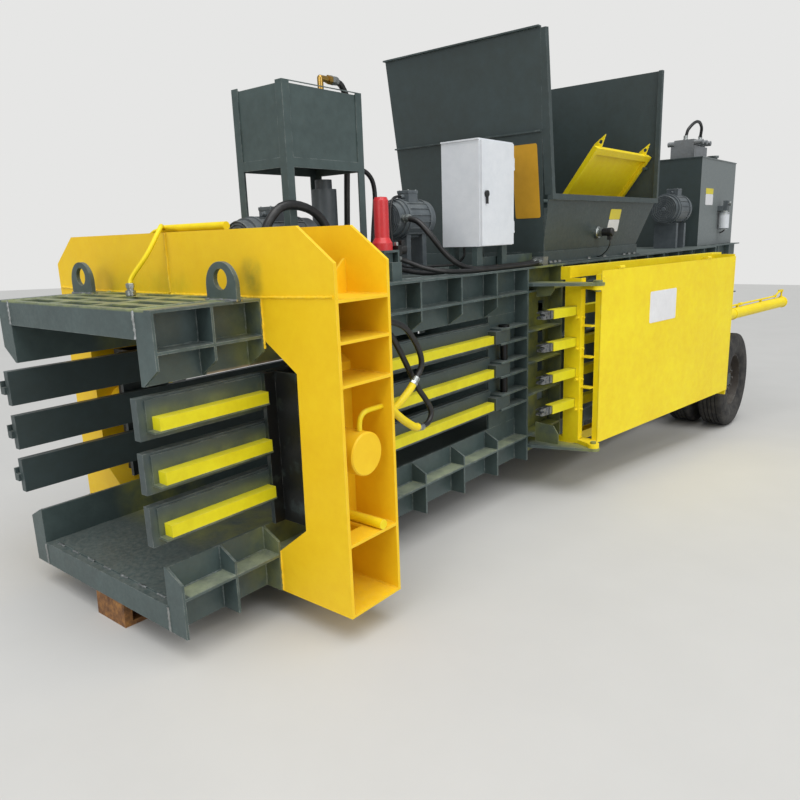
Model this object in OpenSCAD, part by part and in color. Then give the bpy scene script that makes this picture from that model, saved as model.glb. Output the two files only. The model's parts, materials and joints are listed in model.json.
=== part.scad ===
// Horizontal baler with side clamps, a swing-out needle unit and a feed hopper.
// Sizes are laid out on the machine's own axes: X from the exit towards the ram
// end, Y across (near side negative), Z up from the chamber floor. on_machine()
// then sets the machine nose-down on its prop block and wheels.

/* [Stance] */
// nose-down angle of the machine, degrees
stance_pitch = 2.1; // [0:0.1:4]
// distance from the exit face to the middle of the prop block
foot_x = 100; // [60:200]
// chamber floor above the ground at the prop block
foot_height = 252; // [200:400]
// prop block length along the machine
block_length = 200; // [120:300]
// prop block width across the machine
block_width = 245; // [120:400]
// prop block centre off the middle of the machine
block_offset = -40; // [-200:200]

/* [Chamber] */
// half of the inside width
chamber_half = 550; // [400:700]
// depth of the stiffened side boxes
side_depth = 119; // [80:160]
// depth of the floor frame
floor_depth = 127; // [90:180]
// floor to roof underside
chamber_height = 1122; // [900:1300]
// depth of the roof frame
roof_depth = 117; // [80:160]
// main plate thickness
wall_plate = 16; // [10:25]
// rib and shelf plate thickness
rib_plate = 12; // [8:20]
// wear liner thickness
liner_thickness = 8; // [5:12]
// how far the liner stays inside the floor edges
liner_inset = 35; // [20:60]
// top of the lower inner wall
lower_wall_top = 172; // [120:220]
// outer shoulder of the lower gussets
lower_shoulder = 119; // [80:170]
// top of the lower shelf
lower_shelf = 55; // [20:100]
// bottom of the upper skirt
skirt_bottom = 937; // [900:1000]
// outer bottom of the upper gussets
gusset_bottom = 1009; // [950:1060]
// top of the upper shelf
upper_shelf = 1080; // [1040:1150]
// first rib behind the exit
exit_rib_x = 268; // [200:350]
// first rib behind the portal
first_rib_x = 1252; // [1000:1400]
// face of the end plate
end_plate_x = 2852; // [2600:3000]
// front edge of the hopper opening
mouth_front = 3450; // [3300:3600]
// length of the hopper opening
mouth_length = 1500; // [1300:1700]
// rear end of the press body
body_end = 7250; // [6800:7600]
// length of the cylinder frame behind the press body
cylinder_bay = 1450; // [1300:1600]

/* [Portal] */
// front face of the portal
portal_x = 530; // [400:700]
// outside length of the portal
portal_length = 332; // [250:400]
// half width over the portal legs
portal_half = 1110; // [950:1250]
// top of the portal
portal_top = 1531; // [1400:1700]
// half width of the flat portal top
portal_crown_half = 911; // [800:1000]
// height of the chamfer's lower end
portal_shoulder = 1385; // [1300:1500]
// bottom of the portal legs
portal_bottom = -132; // [-160:-100]
// half width of the window beside the clamps
window_half = 861; // [800:950]
// top of that window
window_top = 927; // [880:960]
// bottom of that window
window_bottom = 215; // [180:260]

/* [Side clamps] */
// height of each clamp beam
beam_height = 170; // [120:200]
// thickness of each clamp beam
beam_thickness = 40; // [30:50]
// middle of the middle beam
beam_mid_z = 595; // [560:640]
// spacing of the beams
beam_pitch = 222; // [200:240]
// how far the beams stand out of the exit
beam_overhang = 55; // [0:100]
// rear end of the beams ahead of the pivot pins
beam_setback = 140; // [120:200]
// square guide bar size
bar_size = 52; // [40:60]
// clamp pivot pins ahead of the end plate
pivot_setback = 232; // [200:260]
// clamp pivot pin radius
pivot_r = 25; // [20:35]
// squeeze cylinder position along the machine
squeeze_x = 696; // [660:730]
// squeeze cylinder height
squeeze_z = 570; // [500:640]
// squeeze cylinder outer radius
squeeze_r = 97; // [80:110]
// squeeze cylinder end cap, from the middle of the machine
squeeze_end = 1090; // [1060:1110]
// outer face of the pressed column, from the middle of the machine
column_face = 760; // [720:780]

/* [Ram] */
// retracted ram face behind the hopper opening
ram_setback = 110; // [80:160]
// clear length behind the retracted ram
ram_rear_gap = 90; // [60:150]
// top of the ram
ram_top = 1080; // [1000:1082]
// main cylinder outer radius
main_r = 150; // [120:180]
// main cylinder axis height
main_z = 560; // [500:620]
// main cylinder gland behind the retracted ram face
main_setback = 560; // [540:640]
// main cylinder rear end ahead of the frame end
main_rear_gap = 380; // [300:420]

/* [Needle unit] */
// swing hinge behind the end plate
swing_setback = 197; // [180:230]
// swing hinge distance out from the middle
swing_y = -1085; // [-1200:-1000]
// angle of the unit in its travelling position, degrees
swing_rest = 7.5; // [0:0.5:10]
// top of the needle frame
unit_top = 1231; // [1150:1300]
// top rail past the needle frame's rear plate
rail_overhang = 179; // [120:220]
// length of the needle frame behind the guard
unit_length = 2292; // [2200:2400]
// distance of the needles inboard of the hinge
needle_y = 195; // [180:210]
// needle tube size
needle_size = 60; // [50:62]
// lowest needle
needle_z0 = 283; // [270:300]
// needle spacing
needle_pitch = 217.3; // [200:230]
// needle tips ahead of the hinge
tip_x = -390; // [-400:-350]
// needle cylinder radius
needle_cyl_r = 53.5; // [45:60]
// needle cylinder axis height
needle_cyl_z = 640; // [600:680]
// needle cylinder length behind the rear plate
needle_cyl_length = 1768; // [1700:1900]
// carriage ahead of the rear plate
carriage_gap = 332; // [300:400]

/* [Wheels] */
// tyre outside radius
tyre_r = 453.5; // [420:480]
// tyre section width
tyre_width = 255; // [220:280]
// spacing of the twin tyres
twin_spacing = 304; // [280:320]
// rim radius at the bead
rim_r = 250; // [200:270]
// outer face of the outer tyre from the middle
track_half = 1320; // [1250:1400]
// clear length between the needle frame and the tyres
wheel_gap = 62.5; // [40:150]

/* [Hopper and top equipment] */
// bottom of the hopper walls above the chamber floor
hopper_bottom = 1330; // [1280:1400]
// height of the front lip
lip_z = 1700; // [1600:1800]
// top of the hopper
hopper_top = 2760; // [2500:2900]
// front wall foot ahead of the hopper opening
hopper_lead = 260; // [220:320]
// rear wall above the lip behind the opening
hopper_trail = 250; // [200:320]
// half width at the foot
hopper_half = 600; // [560:640]
// sheet thickness of the hopper
sheet = 8; // [5:12]
// rear tank front face behind the press body
tank_gap = 30; // [20:60]
// rear tank half width
tank_half = 450; // [400:480]
// rear tank top
tank_top = 2230; // [2000:2400]
// header tank stand position along the machine
stand_x = 1160; // [1140:1200]
// header tank stand length
stand_l = 600; // [500:650]
// header tank stand half width
stand_half = 200; // [180:240]
// shelf under the header tank
stand_shelf = 1895; // [1850:1950]
// top of the header tank stand
stand_top = 2270; // [2200:2350]
// pressure vessel position along the machine
acc_x = 1660; // [1640:1700]
// pressure vessel position across the machine
acc_y = -400; // [-430:-380]
// control cabinet position along the machine
cab_x = 2360; // [2340:2380]
// control cabinet length
cab_l = 400; // [380:420]
// control cabinet front face
cab_y0 = -600; // [-610:-590]
// control cabinet back face
cab_y1 = -320; // [-340:-300]
// control cabinet bottom
cab_z0 = 1395; // [1380:1420]
// control cabinet top
cab_z1 = 2030; // [1980:2080]

/* [Hidden] */
$fn = 72;
outer_half = chamber_half + side_depth;
roof_top = chamber_height + roof_depth;
wall_out = chamber_half + wall_plate;
portal_rear = portal_x + portal_length;
rib_pitch = (end_plate_x - first_rib_x) / 4;
pivot_x = end_plate_x - pivot_setback;
beam_end = pivot_x - beam_setback;
swing_x = end_plate_x + swing_setback;
rail_length = unit_length + rail_overhang;
carriage_x = unit_length - carriage_gap;
needle_cyl_end = unit_length + needle_cyl_length;
axle_x = swing_x + unit_length + wheel_gap + tyre_r;
mouth_rear = mouth_front + mouth_length;
frame_end = body_end + cylinder_bay;
ram_front = mouth_rear + ram_setback;
ram_length = body_end - ram_rear_gap - ram_front;
main_front = ram_front + main_setback;
main_rear = frame_end - main_rear_gap;
hopper_front = mouth_front - hopper_lead;
hopper_rear = mouth_rear + hopper_trail;
tank_x = body_end + tank_gap;
pump_x = tank_x - 720;
filter_x = frame_end - 640;
junction_x = swing_x + 31;
throat_top = 1058;
throat_low = 72;
eye_drop = 8;
eye_half = 42;
pivot_y = outer_half - 49;
clamp_levels = [for (i = [-1:1]) beam_mid_z + i * beam_pitch];
eye_levels = [for (z = clamp_levels) z - eye_drop];
needle_levels = [for (i = [0:3]) needle_z0 + i * needle_pitch];
needle_line_x = swing_x + needle_y;
side_ribs = [for (i = [0:3]) first_rib_x + i * rib_pitch];
wall_ribs = [for (i = [0:9]) needle_line_x + 126 + i * (body_end - 8 - needle_line_x - 126) / 9];
axle_z = tyre_r / cos(stance_pitch) - foot_height - (axle_x - foot_x) * tan(stance_pitch);
under_height = foot_height - floor_depth;
guard_hinges = [300, unit_length - 592];
bay_shelves = [803, 580, 352];
high_union = [1084, 1044, 800];
high_way = unit([60, 4, 60]);
low_union = [1131, 1030, 580];
low_way = unit([80, -2, -15]);
flap_y = -305;
flap_z = lip_z;
flap_lean = 36.4;
steel_green = [0.29, 0.33, 0.32];
dark_green = [0.20, 0.24, 0.23];
portal_yellow = [0.91, 0.74, 0.12];
guard_yellow = [0.95, 0.85, 0.11];
bar_yellow = [0.91, 0.88, 0.13];
bare_steel = [0.55, 0.56, 0.57];
black = [0.08, 0.08, 0.08];

module on_machine() rotate([0, -stance_pitch, 0]) translate([-foot_x, 0, foot_height]) children();

// box between two corners
module box(a, b) translate(a) cube(b - a);

// outline in Y and Z, extruded along +X from x
module across(x, t) translate([x, 0, 0]) rotate([90, 0, 90]) linear_extrude(t) children();

// outline in X and Z, extruded along +Y from y
module along(y, t) translate([0, y + t, 0]) rotate([90, 0, 0]) linear_extrude(t) children();

module near_side() mirror([0, 1, 0]) children();

module both_sides() {
  children();
  near_side() children();
}

// round bar or hole along +X, +Y
module bar_x(x, y, z, r, l) translate([x, y, z]) rotate([0, 90, 0]) cylinder(r = r, h = l);
module bar_y(x, y, z, r, l) translate([x, y, z]) rotate([-90, 0, 0]) cylinder(r = r, h = l);

// point on a smooth curve through the given points; each span's end slopes are as
// long as the span, so that a short span beside a long one makes no loop
function spline_point(p, i, t) =
  let (a = p[max(i - 1, 0)], b = p[i], c = p[i + 1], d = p[min(i + 2, len(p) - 1)],
    u = norm(c - b) * unit(c - a), v = norm(c - b) * unit(d - b))
  (2 * pow(t, 3) - 3 * t * t + 1) * b + (pow(t, 3) - 2 * t * t + t) * u
    + (3 * t * t - 2 * pow(t, 3)) * c + (pow(t, 3) - t * t) * v;
function spline(p, steps) = concat(
  [for (i = [0:len(p) - 2]) for (s = [0:steps - 1]) spline_point(p, i, s / steps)], [p[len(p) - 1]]);
function unit(v) = v / norm(v);

// round hose through a list of points; ref is a direction the hose never follows
module sweep(points, r, ref = [0, 0, 1], steps = 4, sides = 8) {
  path = spline(points, steps);
  n = len(path);
  tangents = [for (i = [0:n - 1]) unit(path[min(i + 1, n - 1)] - path[max(i - 1, 0)])];
  rings = [for (i = [0:n - 1]) let (u = unit(cross(tangents[i], ref)), v = cross(tangents[i], u))
    for (k = [0:sides - 1]) path[i] + r * (cos(k * 360 / sides) * u + sin(k * 360 / sides) * v)];
  walls = [for (i = [0:n - 2]) for (k = [0:sides - 1]) let (m = (k + 1) % sides)
    [i * sides + k, (i + 1) * sides + k, (i + 1) * sides + m, i * sides + m]];
  caps = [[for (k = [0:sides - 1]) k], [for (k = [sides - 1:-1:0]) (n - 1) * sides + k]];
  polyhedron(points = rings, faces = concat(walls, caps), convexity = 8);
}

// FLOOR AND SIDE BOXES

module floor_deck() on_machine() color(steel_green) {
  top = -liner_thickness;
  under = top - wall_plate;
  box([0, -chamber_half, under], [body_end, chamber_half, top]);
  box([0, -chamber_half, -floor_depth], [wall_plate, chamber_half, top]);
  for (y = [-440, -220, 0, 220, 440])
    box([0, y - rib_plate / 2, -floor_depth], [body_end, y + rib_plate / 2, under]);
  for (x = [exit_rib_x, portal_x, portal_rear])
    box([x, -chamber_half, -floor_depth], [x + rib_plate, chamber_half, under]);
  for (x = concat(side_ribs, wall_ribs))
    box([x, -chamber_half, -floor_depth], [x + 8, chamber_half, under]);
}

module floor_liner() on_machine() color(steel_green) {
  inset_half = chamber_half - liner_inset;
  box([liner_inset, -inset_half, -liner_thickness], [body_end - 10, inset_half, 0]);
}

module gusset_low() polygon([[wall_out - 1, lower_wall_top], [outer_half, lower_shoulder],
  [outer_half, -floor_depth], [wall_out - 1, -floor_depth]]);

module lower_box() {
  box([0, chamber_half, -floor_depth], [end_plate_x, wall_out, lower_wall_top]);
  box([0, wall_out - 1, lower_shelf - rib_plate], [end_plate_x, outer_half, lower_shelf]);
  for (x = concat([0, exit_rib_x, portal_x - rib_plate], side_ribs)) across(x, rib_plate) gusset_low();
}
module near_lower_box() on_machine() color(steel_green) near_side() lower_box();
module far_lower_box() on_machine() color(steel_green) lower_box();

module gusset_high() polygon([[wall_out - 1, roof_top - 1], [outer_half, roof_top - 1],
  [outer_half, gusset_bottom], [wall_out - 1, skirt_bottom]]);

module upper_box() {
  box([0, chamber_half, skirt_bottom], [end_plate_x, wall_out, roof_top]);
  box([0, wall_out - 1, roof_top - rib_plate], [end_plate_x, outer_half, roof_top]);
  box([0, wall_out - 1, upper_shelf - rib_plate], [end_plate_x, outer_half, upper_shelf]);
  for (x = concat([0, exit_rib_x, portal_x - rib_plate], side_ribs)) across(x, rib_plate) gusset_high();
}
module near_upper_box() on_machine() color(steel_green) near_side() upper_box();
module far_upper_box() on_machine() color(steel_green) upper_box();

// ROOF

module exit_roof() on_machine() color(steel_green) {
  bay = portal_x / 4;
  box([0, -chamber_half, chamber_height], [portal_x, chamber_half, chamber_height + rib_plate]);
  box([0, -chamber_half, chamber_height], [wall_plate, chamber_half, roof_top]);
  for (i = [1:3]) box([i * bay - 6, -chamber_half, chamber_height], [i * bay + 6, chamber_half, roof_top]);
  difference() {
    box([0, -chamber_half, roof_top - rib_plate], [portal_x, chamber_half, roof_top]);
    for (i = [0:3])
      for (y = [-350, 0, 350])
        box([i * bay + 32, y - 145, roof_top - 20], [i * bay + bay - 26, y + 145, roof_top + 5]);
  }
}

module roof_section(x0, x1) {
  box([x0, -chamber_half, roof_top - rib_plate], [x1, chamber_half, roof_top]);
  box([x0, -chamber_half, chamber_height], [x1, chamber_half, chamber_height + wall_plate]);
  for (x = [x0, x1 - wall_plate]) box([x, -chamber_half, chamber_height], [x + wall_plate, chamber_half, roof_top]);
  for (y = [-280, 0, 280]) box([x0, y - 6, chamber_height], [x1, y + 6, roof_top]);
}
module roof_deck() on_machine() color(steel_green) {
  roof_section(portal_x, mouth_front);
  roof_section(mouth_rear, body_end);
}

module shear_knife() on_machine() color(bare_steel) difference() {
  box([mouth_front - 64, -chamber_half + 5, chamber_height - 38], [mouth_front, chamber_half - 5, chamber_height]);
  for (y = [-480:160:480]) translate([mouth_front - 32, y, chamber_height - 39]) cylinder(r = 14, h = 16);
}

// PRESS WALLS, CLAMP PIVOTS AND NEEDLE STATION

// bay between the end plate and the first wall rib, built of separate plates that
// butt together, so that the swinging needle tips find it open
module needle_bay() {
  fit = 0.3;
  x0 = end_plate_x + wall_plate + fit;
  x1 = wall_ribs[0] - 4 - fit;
  difference() {
    box([end_plate_x, chamber_half, -floor_depth], [x1, wall_out, roof_top]);
    for (z = needle_levels) box([needle_line_x - 50, 500, z - 48], [needle_line_x + 50, 700, z + 48]);
  }
  box([end_plate_x, wall_out + fit, -floor_depth], [end_plate_x + wall_plate, outer_half, roof_top]);
  for (z = [roof_top, upper_shelf, bay_shelves[0], bay_shelves[1], bay_shelves[2], lower_shelf])
    box([x0, wall_out + fit, z - rib_plate], [x1, outer_half, z]);
  // eyes of the clamp pivot
  difference() {
    union() {
      box([pivot_x - 110, chamber_half, lower_wall_top], [end_plate_x - fit, wall_out, skirt_bottom]);
      for (c = eye_levels) {
        box([pivot_x - 110, wall_out - 1, c + eye_half], [end_plate_x - fit, outer_half, c + eye_half + rib_plate]);
        box([pivot_x - 110, wall_out - 1, c - eye_half - rib_plate], [end_plate_x - fit, outer_half, c - eye_half]);
      }
    }
    translate([pivot_x, pivot_y, 0]) cylinder(r = pivot_r + 0.05, h = 1000);
  }
}

module press_wall() {
  start = wall_ribs[0] - 4;
  box([start, chamber_half, -floor_depth], [body_end, wall_out, roof_top]);
  for (z = [roof_top, upper_shelf, 700, 380, lower_shelf])
    box([start, wall_out - 1, z - rib_plate], [body_end, outer_half, z]);
  for (x = wall_ribs)
    box([x - 4, wall_out - 1, -floor_depth], [x + 8, outer_half, roof_top]);
}
module needle_station() on_machine() color(steel_green) near_side() needle_bay();
module near_press_wall() on_machine() color(steel_green) near_side() press_wall();
module far_press_wall() on_machine() color(steel_green) {
  press_wall();
  needle_bay();
}

module clamp_pins() on_machine() color(bare_steel) both_sides()
  translate([pivot_x, pivot_y, eye_levels[0] - eye_half - rib_plate - 12]) {
    cylinder(r = pivot_r, h = eye_levels[2] - eye_levels[0] + 2 * eye_half + 2 * rib_plate + 12);
    translate([0, 0, eye_levels[2] - eye_levels[0] + 2 * eye_half + 2 * rib_plate + 12])
      cylinder(r = pivot_r + 12, h = 14);
  }

module rear_frame() on_machine() color(steel_green) {
  difference() {
    box([body_end, -outer_half, -floor_depth], [body_end + wall_plate, outer_half, roof_top]);
    box([body_end - 1, -430, 60], [body_end + wall_plate + 1, 430, ram_top]);
  }
  both_sides() {
    box([body_end, 484, -floor_depth], [frame_end, 500, roof_top]);
    for (x = [body_end + cylinder_bay / 3, body_end + cylinder_bay * 2 / 3])
      box([x, 499, -floor_depth], [x + rib_plate, 560, roof_top]);
    for (z = [-floor_depth, 600, roof_top - rib_plate])
      box([body_end, 499, z], [frame_end, 560, z + rib_plate]);
  }
  difference() {
    union() {
      box([main_rear, -485, 200], [main_rear + 40, 485, 920]);
      for (z = [200, 880]) box([main_rear, -485, z], [frame_end, 485, z + 40]);
    }
    bar_x(main_rear - 1, 0, main_z, 70, 42);
  }
  box([frame_end - wall_plate, -485, -floor_depth], [frame_end, 485, roof_top]);
  for (x = [body_end + 40:360:frame_end - 100])
    box([x, -485, roof_top - 60], [x + 60, 485, roof_top]);
  box([body_end, -485, -floor_depth], [frame_end, 485, -floor_depth + wall_plate]);
}

// PORTAL

module portal_outline() polygon([
  [-portal_half, portal_bottom], [-portal_half, portal_shoulder], [-portal_crown_half, portal_top],
  [portal_crown_half, portal_top], [portal_half, portal_shoulder], [portal_half, portal_bottom],
  [outer_half, portal_bottom], [outer_half, throat_low], [window_half - 9, window_bottom],
  [window_half, window_top], [outer_half, throat_top], [outer_half, roof_top],
  [-outer_half, roof_top], [-outer_half, throat_top], [-window_half, window_top],
  [-window_half + 9, window_bottom], [-outer_half, throat_low], [-outer_half, portal_bottom]]);

module portal_front_plate() on_machine() color(portal_yellow)
  across(portal_x, wall_plate) portal_outline();
module portal_rear_plate() on_machine() color(portal_yellow)
  across(portal_rear - wall_plate, wall_plate) portal_outline();

module portal_leg() {
  inner = portal_x + wall_plate;
  depth = portal_length - 2 * wall_plate;
  difference() {
    across(inner, depth) polygon([[outer_half, portal_bottom], [outer_half, throat_low],
      [window_half - 9, window_bottom], [window_half, window_top], [outer_half, throat_top],
      [outer_half, throat_top + 18], [window_half + 14, window_top + 9],
      [window_half + 5, window_bottom - 7], [outer_half + 12, throat_low - 18],
      [outer_half + 12, portal_bottom]]);
    bar_y(squeeze_x, window_half - 60, squeeze_z, squeeze_r + 0.1, 120);
  }
  difference() {
    union() {
      for (z = [roof_top + 2, upper_shelf - 5])
        box([inner, outer_half, z - rib_plate], [inner + depth, portal_half, z]);
      box([inner, window_half + 2, 885], [inner + depth, portal_half, 897]);
      box([inner, window_half - 8, 193], [inner + depth, portal_half, 205]);
      box([inner, outer_half, portal_bottom], [inner + depth, portal_half, portal_bottom + rib_plate]);
    }
    box([inner + 60, 925, 190], [inner + 190, 1000, 210]);
  }
  // gusset between the top shelf and the rear plate
  along(window_half + 2, 12) polygon([[inner + depth - 172, roof_top + 1], [inner + depth, roof_top + 1],
    [inner + depth, 1390], [inner + depth - 6, 1390]]);
}
module portal_shelves() on_machine() color(portal_yellow) {
  both_sides() portal_leg();
  for (y = [-420, 0, 420]) box([portal_x + wall_plate, y - 6, roof_top],
    [portal_rear - wall_plate, y + 6, y == 0 ? portal_top : portal_top - 60]);
}

// SIDE CLAMPS

module clamp(hooks = false) difference() {
  union() {
    for (i = [0:2]) {
      c = clamp_levels[i];
      e = eye_levels[i];
      out = chamber_half + beam_thickness;
      box([-beam_overhang, chamber_half, c - beam_height / 2], [beam_end, out, c + beam_height / 2]);
      box([-beam_overhang + 30, out - 1, c - 53], [beam_end, out + 8, c + 75]);
      for (x = [[-beam_overhang + 30, portal_x + 20], [portal_rear - 10, beam_end]])
        box([x[0], out, c - 53], [x[1], out + 60, c - 45]);
      box([beam_end - 30, 578, e - eye_half + 0.3], [pivot_x, pivot_y + eye_half, e + eye_half - 0.3]);
      translate([pivot_x, pivot_y, e - eye_half + 0.3]) cylinder(r = eye_half, h = 2 * eye_half - 0.6);
      if (hooks) {
        box([-beam_overhang - 14, out - 12, c - 30], [-beam_overhang + 20, out + 30, c + 6]);
        box([-beam_overhang - 14, out + 18, c - 30], [-beam_overhang + 20, out + 30, c + 34]);
      }
    }
    box([portal_x + 24, 597, lower_wall_top + 14], [portal_x + 86, 620, 902]);
    box([portal_x + 85, 597, lower_wall_top + 14], [portal_x + 310, column_face, 902]);
  }
  box([portal_x + 100, 614, lower_wall_top], [portal_x + 296, column_face - 14, 920]);
  translate([pivot_x, pivot_y, 0]) cylinder(r = pivot_r + 0.05, h = 1200);
}
module near_clamp() on_machine() color(dark_green) near_side() clamp();
module far_clamp() on_machine() color(dark_green) clamp(true);

module clamp_bars() {
  seat = chamber_half + beam_thickness + 8;
  for (c = clamp_levels) {
    box([0, seat, c - 45], [portal_x + 16, seat + bar_size, c - 45 + bar_size]);
    box([portal_rear - 4, seat, c - 45], [beam_end - 34, seat + bar_size, c - 45 + bar_size]);
  }
}
module near_clamp_bars() on_machine() color(bar_yellow) near_side() clamp_bars();
module far_clamp_bars() on_machine() color(bar_yellow) clamp_bars();

module squeeze_barrels() on_machine() color(portal_yellow) both_sides()
  translate([squeeze_x, squeeze_end, squeeze_z]) rotate([90, 0, 0]) rotate_extrude()
    polygon([[0, 0], [squeeze_r - 6, 0], [squeeze_r, 6], [squeeze_r, squeeze_end - 790], [60, squeeze_end - 790],
      [50.05, squeeze_end - 796], [50.05, squeeze_end - 850], [80.05, squeeze_end - 850], [80.05, 30], [0, 30]]);

module squeeze_rod() translate([squeeze_x, column_face + 0.4, squeeze_z]) rotate([-90, 0, 0]) {
  nose_r = 60;
  intersection() {
    cylinder(r = 50, h = 60);
    translate([0, 0, nose_r]) sphere(r = nose_r);
  }
  translate([0, 0, nose_r - 20]) cylinder(r = 50, h = 230);
  translate([0, 0, nose_r + 180]) cylinder(r = 80, h = 40);
}
module near_squeeze_rod() on_machine() color(bare_steel) near_side() squeeze_rod();
module far_squeeze_rod() on_machine() color(bare_steel) squeeze_rod();

module lifting_lugs() on_machine() color(steel_green) both_sides()
  difference() {
    across(390, 20) union() {
      translate([485, roof_top]) square([200, 61]);
      translate([585, roof_top + 61]) circle(r = 100);
    }
    box([380, 400, roof_top - 100], [420, 800, roof_top]);
    bar_x(380, 585, roof_top + 88, 45, 40);
  }

module prop_block() color([0.42, 0.27, 0.16]) difference() {
  rise = block_length / 2 * tan(stance_pitch);
  top = under_height / cos(stance_pitch);
  along(block_offset - block_width / 2, block_width) difference() {
    polygon([[-block_length / 2, 0], [block_length / 2, 0], [block_length / 2, top + rise],
      [-block_length / 2, top - rise]]);
    translate([-60, 22]) square([120, 74]);
  }
}

// RAM AND MAIN CYLINDER

module ram() on_machine() color(dark_green) {
  half = chamber_half - 10;
  difference() {
    box([ram_front, -half, 0.3], [ram_front + 440, half, ram_top]);
    for (z = needle_levels) box([ram_front - 1, -half - 1, z - 42], [ram_front + 410, half + 1, z + 42]);
  }
  difference() {
    box([ram_front + 439, -half, 0.3], [ram_front + ram_length, half, ram_top]);
    box([ram_front + 460, -half + 14, 20], [ram_front + ram_length + 1, half - 14, ram_top - 14]);
    for (x = [0:2]) box([ram_front + 700 + x * 460, -400, ram_top - 20], [ram_front + 1020 + x * 460, 400, ram_top + 1]);
  }
}

module ram_rod() on_machine() color(bare_steel) {
  bar_x(ram_front + 460, 0, main_z, 130, 20);
  bar_x(ram_front + 479, 0, main_z, 90, main_rear - 130 - ram_front - 479);
  bar_x(main_rear - 250, 0, main_z, 125, 120);
}

module main_barrel() on_machine() color(portal_yellow) translate([main_front, 0, main_z]) rotate([0, 90, 0])
  rotate_extrude() polygon([[90.05, 0], [main_r + 25, 0], [main_r + 25, 60], [main_r, 60],
    [main_r, main_rear - main_front - 60], [main_r + 60, main_rear - main_front - 60],
    [main_r + 60, main_rear - main_front], [0, main_rear - main_front],
    [0, main_rear - main_front - 40], [125.05, main_rear - main_front - 40], [125.05, 160], [90.05, 160]]);

// NEEDLE UNIT, drawn along its rail with the swing hinge at the origin

module on_unit() translate([swing_x, swing_y, 0]) rotate([0, 0, -swing_rest]) children();

module needle_bracket() on_machine() color(guard_yellow) {
  for (z = [unit_top - 119, -32]) {
    translate([0, 0, z]) linear_extrude(20) polygon([[end_plate_x + wall_plate, -wall_out],
      [end_plate_x + wall_plate, -outer_half - 30], [swing_x - 45, swing_y], [swing_x, swing_y - 45],
      [swing_x + 20, swing_y], [swing_x + 12, -wall_out]]);
    translate([swing_x, swing_y, z]) cylinder(r = 45, h = 20);
  }
  translate([swing_x, swing_y, unit_top - 160]) cylinder(r = 20, h = 75);
  translate([swing_x, swing_y, unit_top - 99]) cylinder(r = 30, h = 14);
  translate([swing_x, swing_y, -32]) cylinder(r = 20, h = 62);
  across(swing_x - 70, rib_plate) polygon([[-wall_out, unit_top - 118], [-800, unit_top - 118],
    [-800, unit_top - 150], [-770, unit_top - 190], [-outer_half, unit_top - 200], [-outer_half, upper_shelf],
    [-wall_out, upper_shelf]]);
  across(swing_x - 70, rib_plate) polygon([[-outer_half, -13], [-850, -13], [-850, 60], [-810, 120], [-outer_half, 130]]);
}

module hinge_arm(z) translate([0, 0, z]) linear_extrude(28) difference() {
  union() {
    circle(r = 40);
    polygon([[-25, 20], [9, 131], [9, 259], [61, 259], [100, 60], [75, 30], [30, -22]]);
  }
  circle(r = 20.05);
}

module needle_frame() on_machine() color(guard_yellow) on_unit() {
  top = unit_top - 75;
  difference() {
    union() {
      box([9, 131, 20], [21, 259, top]);
      box([9, 131, 20], [61, 143, top]);
      box([9, 247, 20], [61, 259, top]);
    }
    for (z = needle_levels)
      box([0, needle_y - needle_size / 2 - 3, z - needle_size / 2 - 3],
        [30, needle_y + needle_size / 2 + 3, z + needle_size / 2 + 3]);
  }
  difference() {
    box([9, 222, top], [rail_length, 297, unit_top]);
    box([21, 230, top - 1], [rail_length - 20, 289, unit_top - 12]);
  }
  difference() {
    box([9, 222, -45], [unit_length, 297, 20]);
    box([21, 230, -33], [unit_length - 16, 289, 21]);
  }
  box([9, 131, top - 12], [21, 297, top]);
  box([9, 131, 8], [21, 297, 21]);
  hinge_arm(unit_top - 119 - 28.3);
  hinge_arm(-11.7);
  // post behind the guard, rungs and guard rails
  box([75, 22, 8], [105, 60, 1180]);
  for (z = [392, 609, 826]) box([30, 59, z], [90, 140, z + 10]);
  for (z = [12, 1140]) box([75, 26, z], [unit_length, 60, z + 40]);
  // rear plate with the cylinder seat
  difference() {
    box([unit_length - 16, 26, -45], [unit_length, 297, unit_top - 10]);
    bar_x(unit_length - 20, needle_y, needle_cyl_z, needle_cyl_r + 0.1, 30);
  }
  // studs beside each needle
  for (z = needle_levels) {
    bar_x(-12, 150, z - 46, 9, 22);
    bar_y(38, 118, z - 46, 8, 16);
  }
  for (x = guard_hinges) {
    box([x, 30, 1178], [x + 30, 60, 1222]);
    box([x, 12, 1208], [x + 30, 31, 1222]);
    bar_x(x, 17, 1215, 11, 30);
    bar_x(x + 29, 17, 1215, 6, 34);
  }
}
module needle_guard() on_machine() color(guard_yellow) on_unit() difference() {
  union() {
    box([75, 14, 2], [unit_length - 12, 20, 1203]);
    box([75, 14, 2], [unit_length - 12, 22, 8]);
    box([110, 14, 2], [unit_length - 20, 44, 8]);
    for (x = guard_hinges) {
      bar_x(x + 30.3, 17, 1215, 11, 30);
      box([x + 30.3, 14, 1190], [x + 60.3, 20, 1215]);
    }
    // plain plate fixing studs near the top corners
    for (x = [100, unit_length - 40]) bar_y(x, 10, 1160, 8, 5);
  }
  for (x = guard_hinges) bar_x(x + 20, 17, 1215, 6.05, 50);
}

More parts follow.
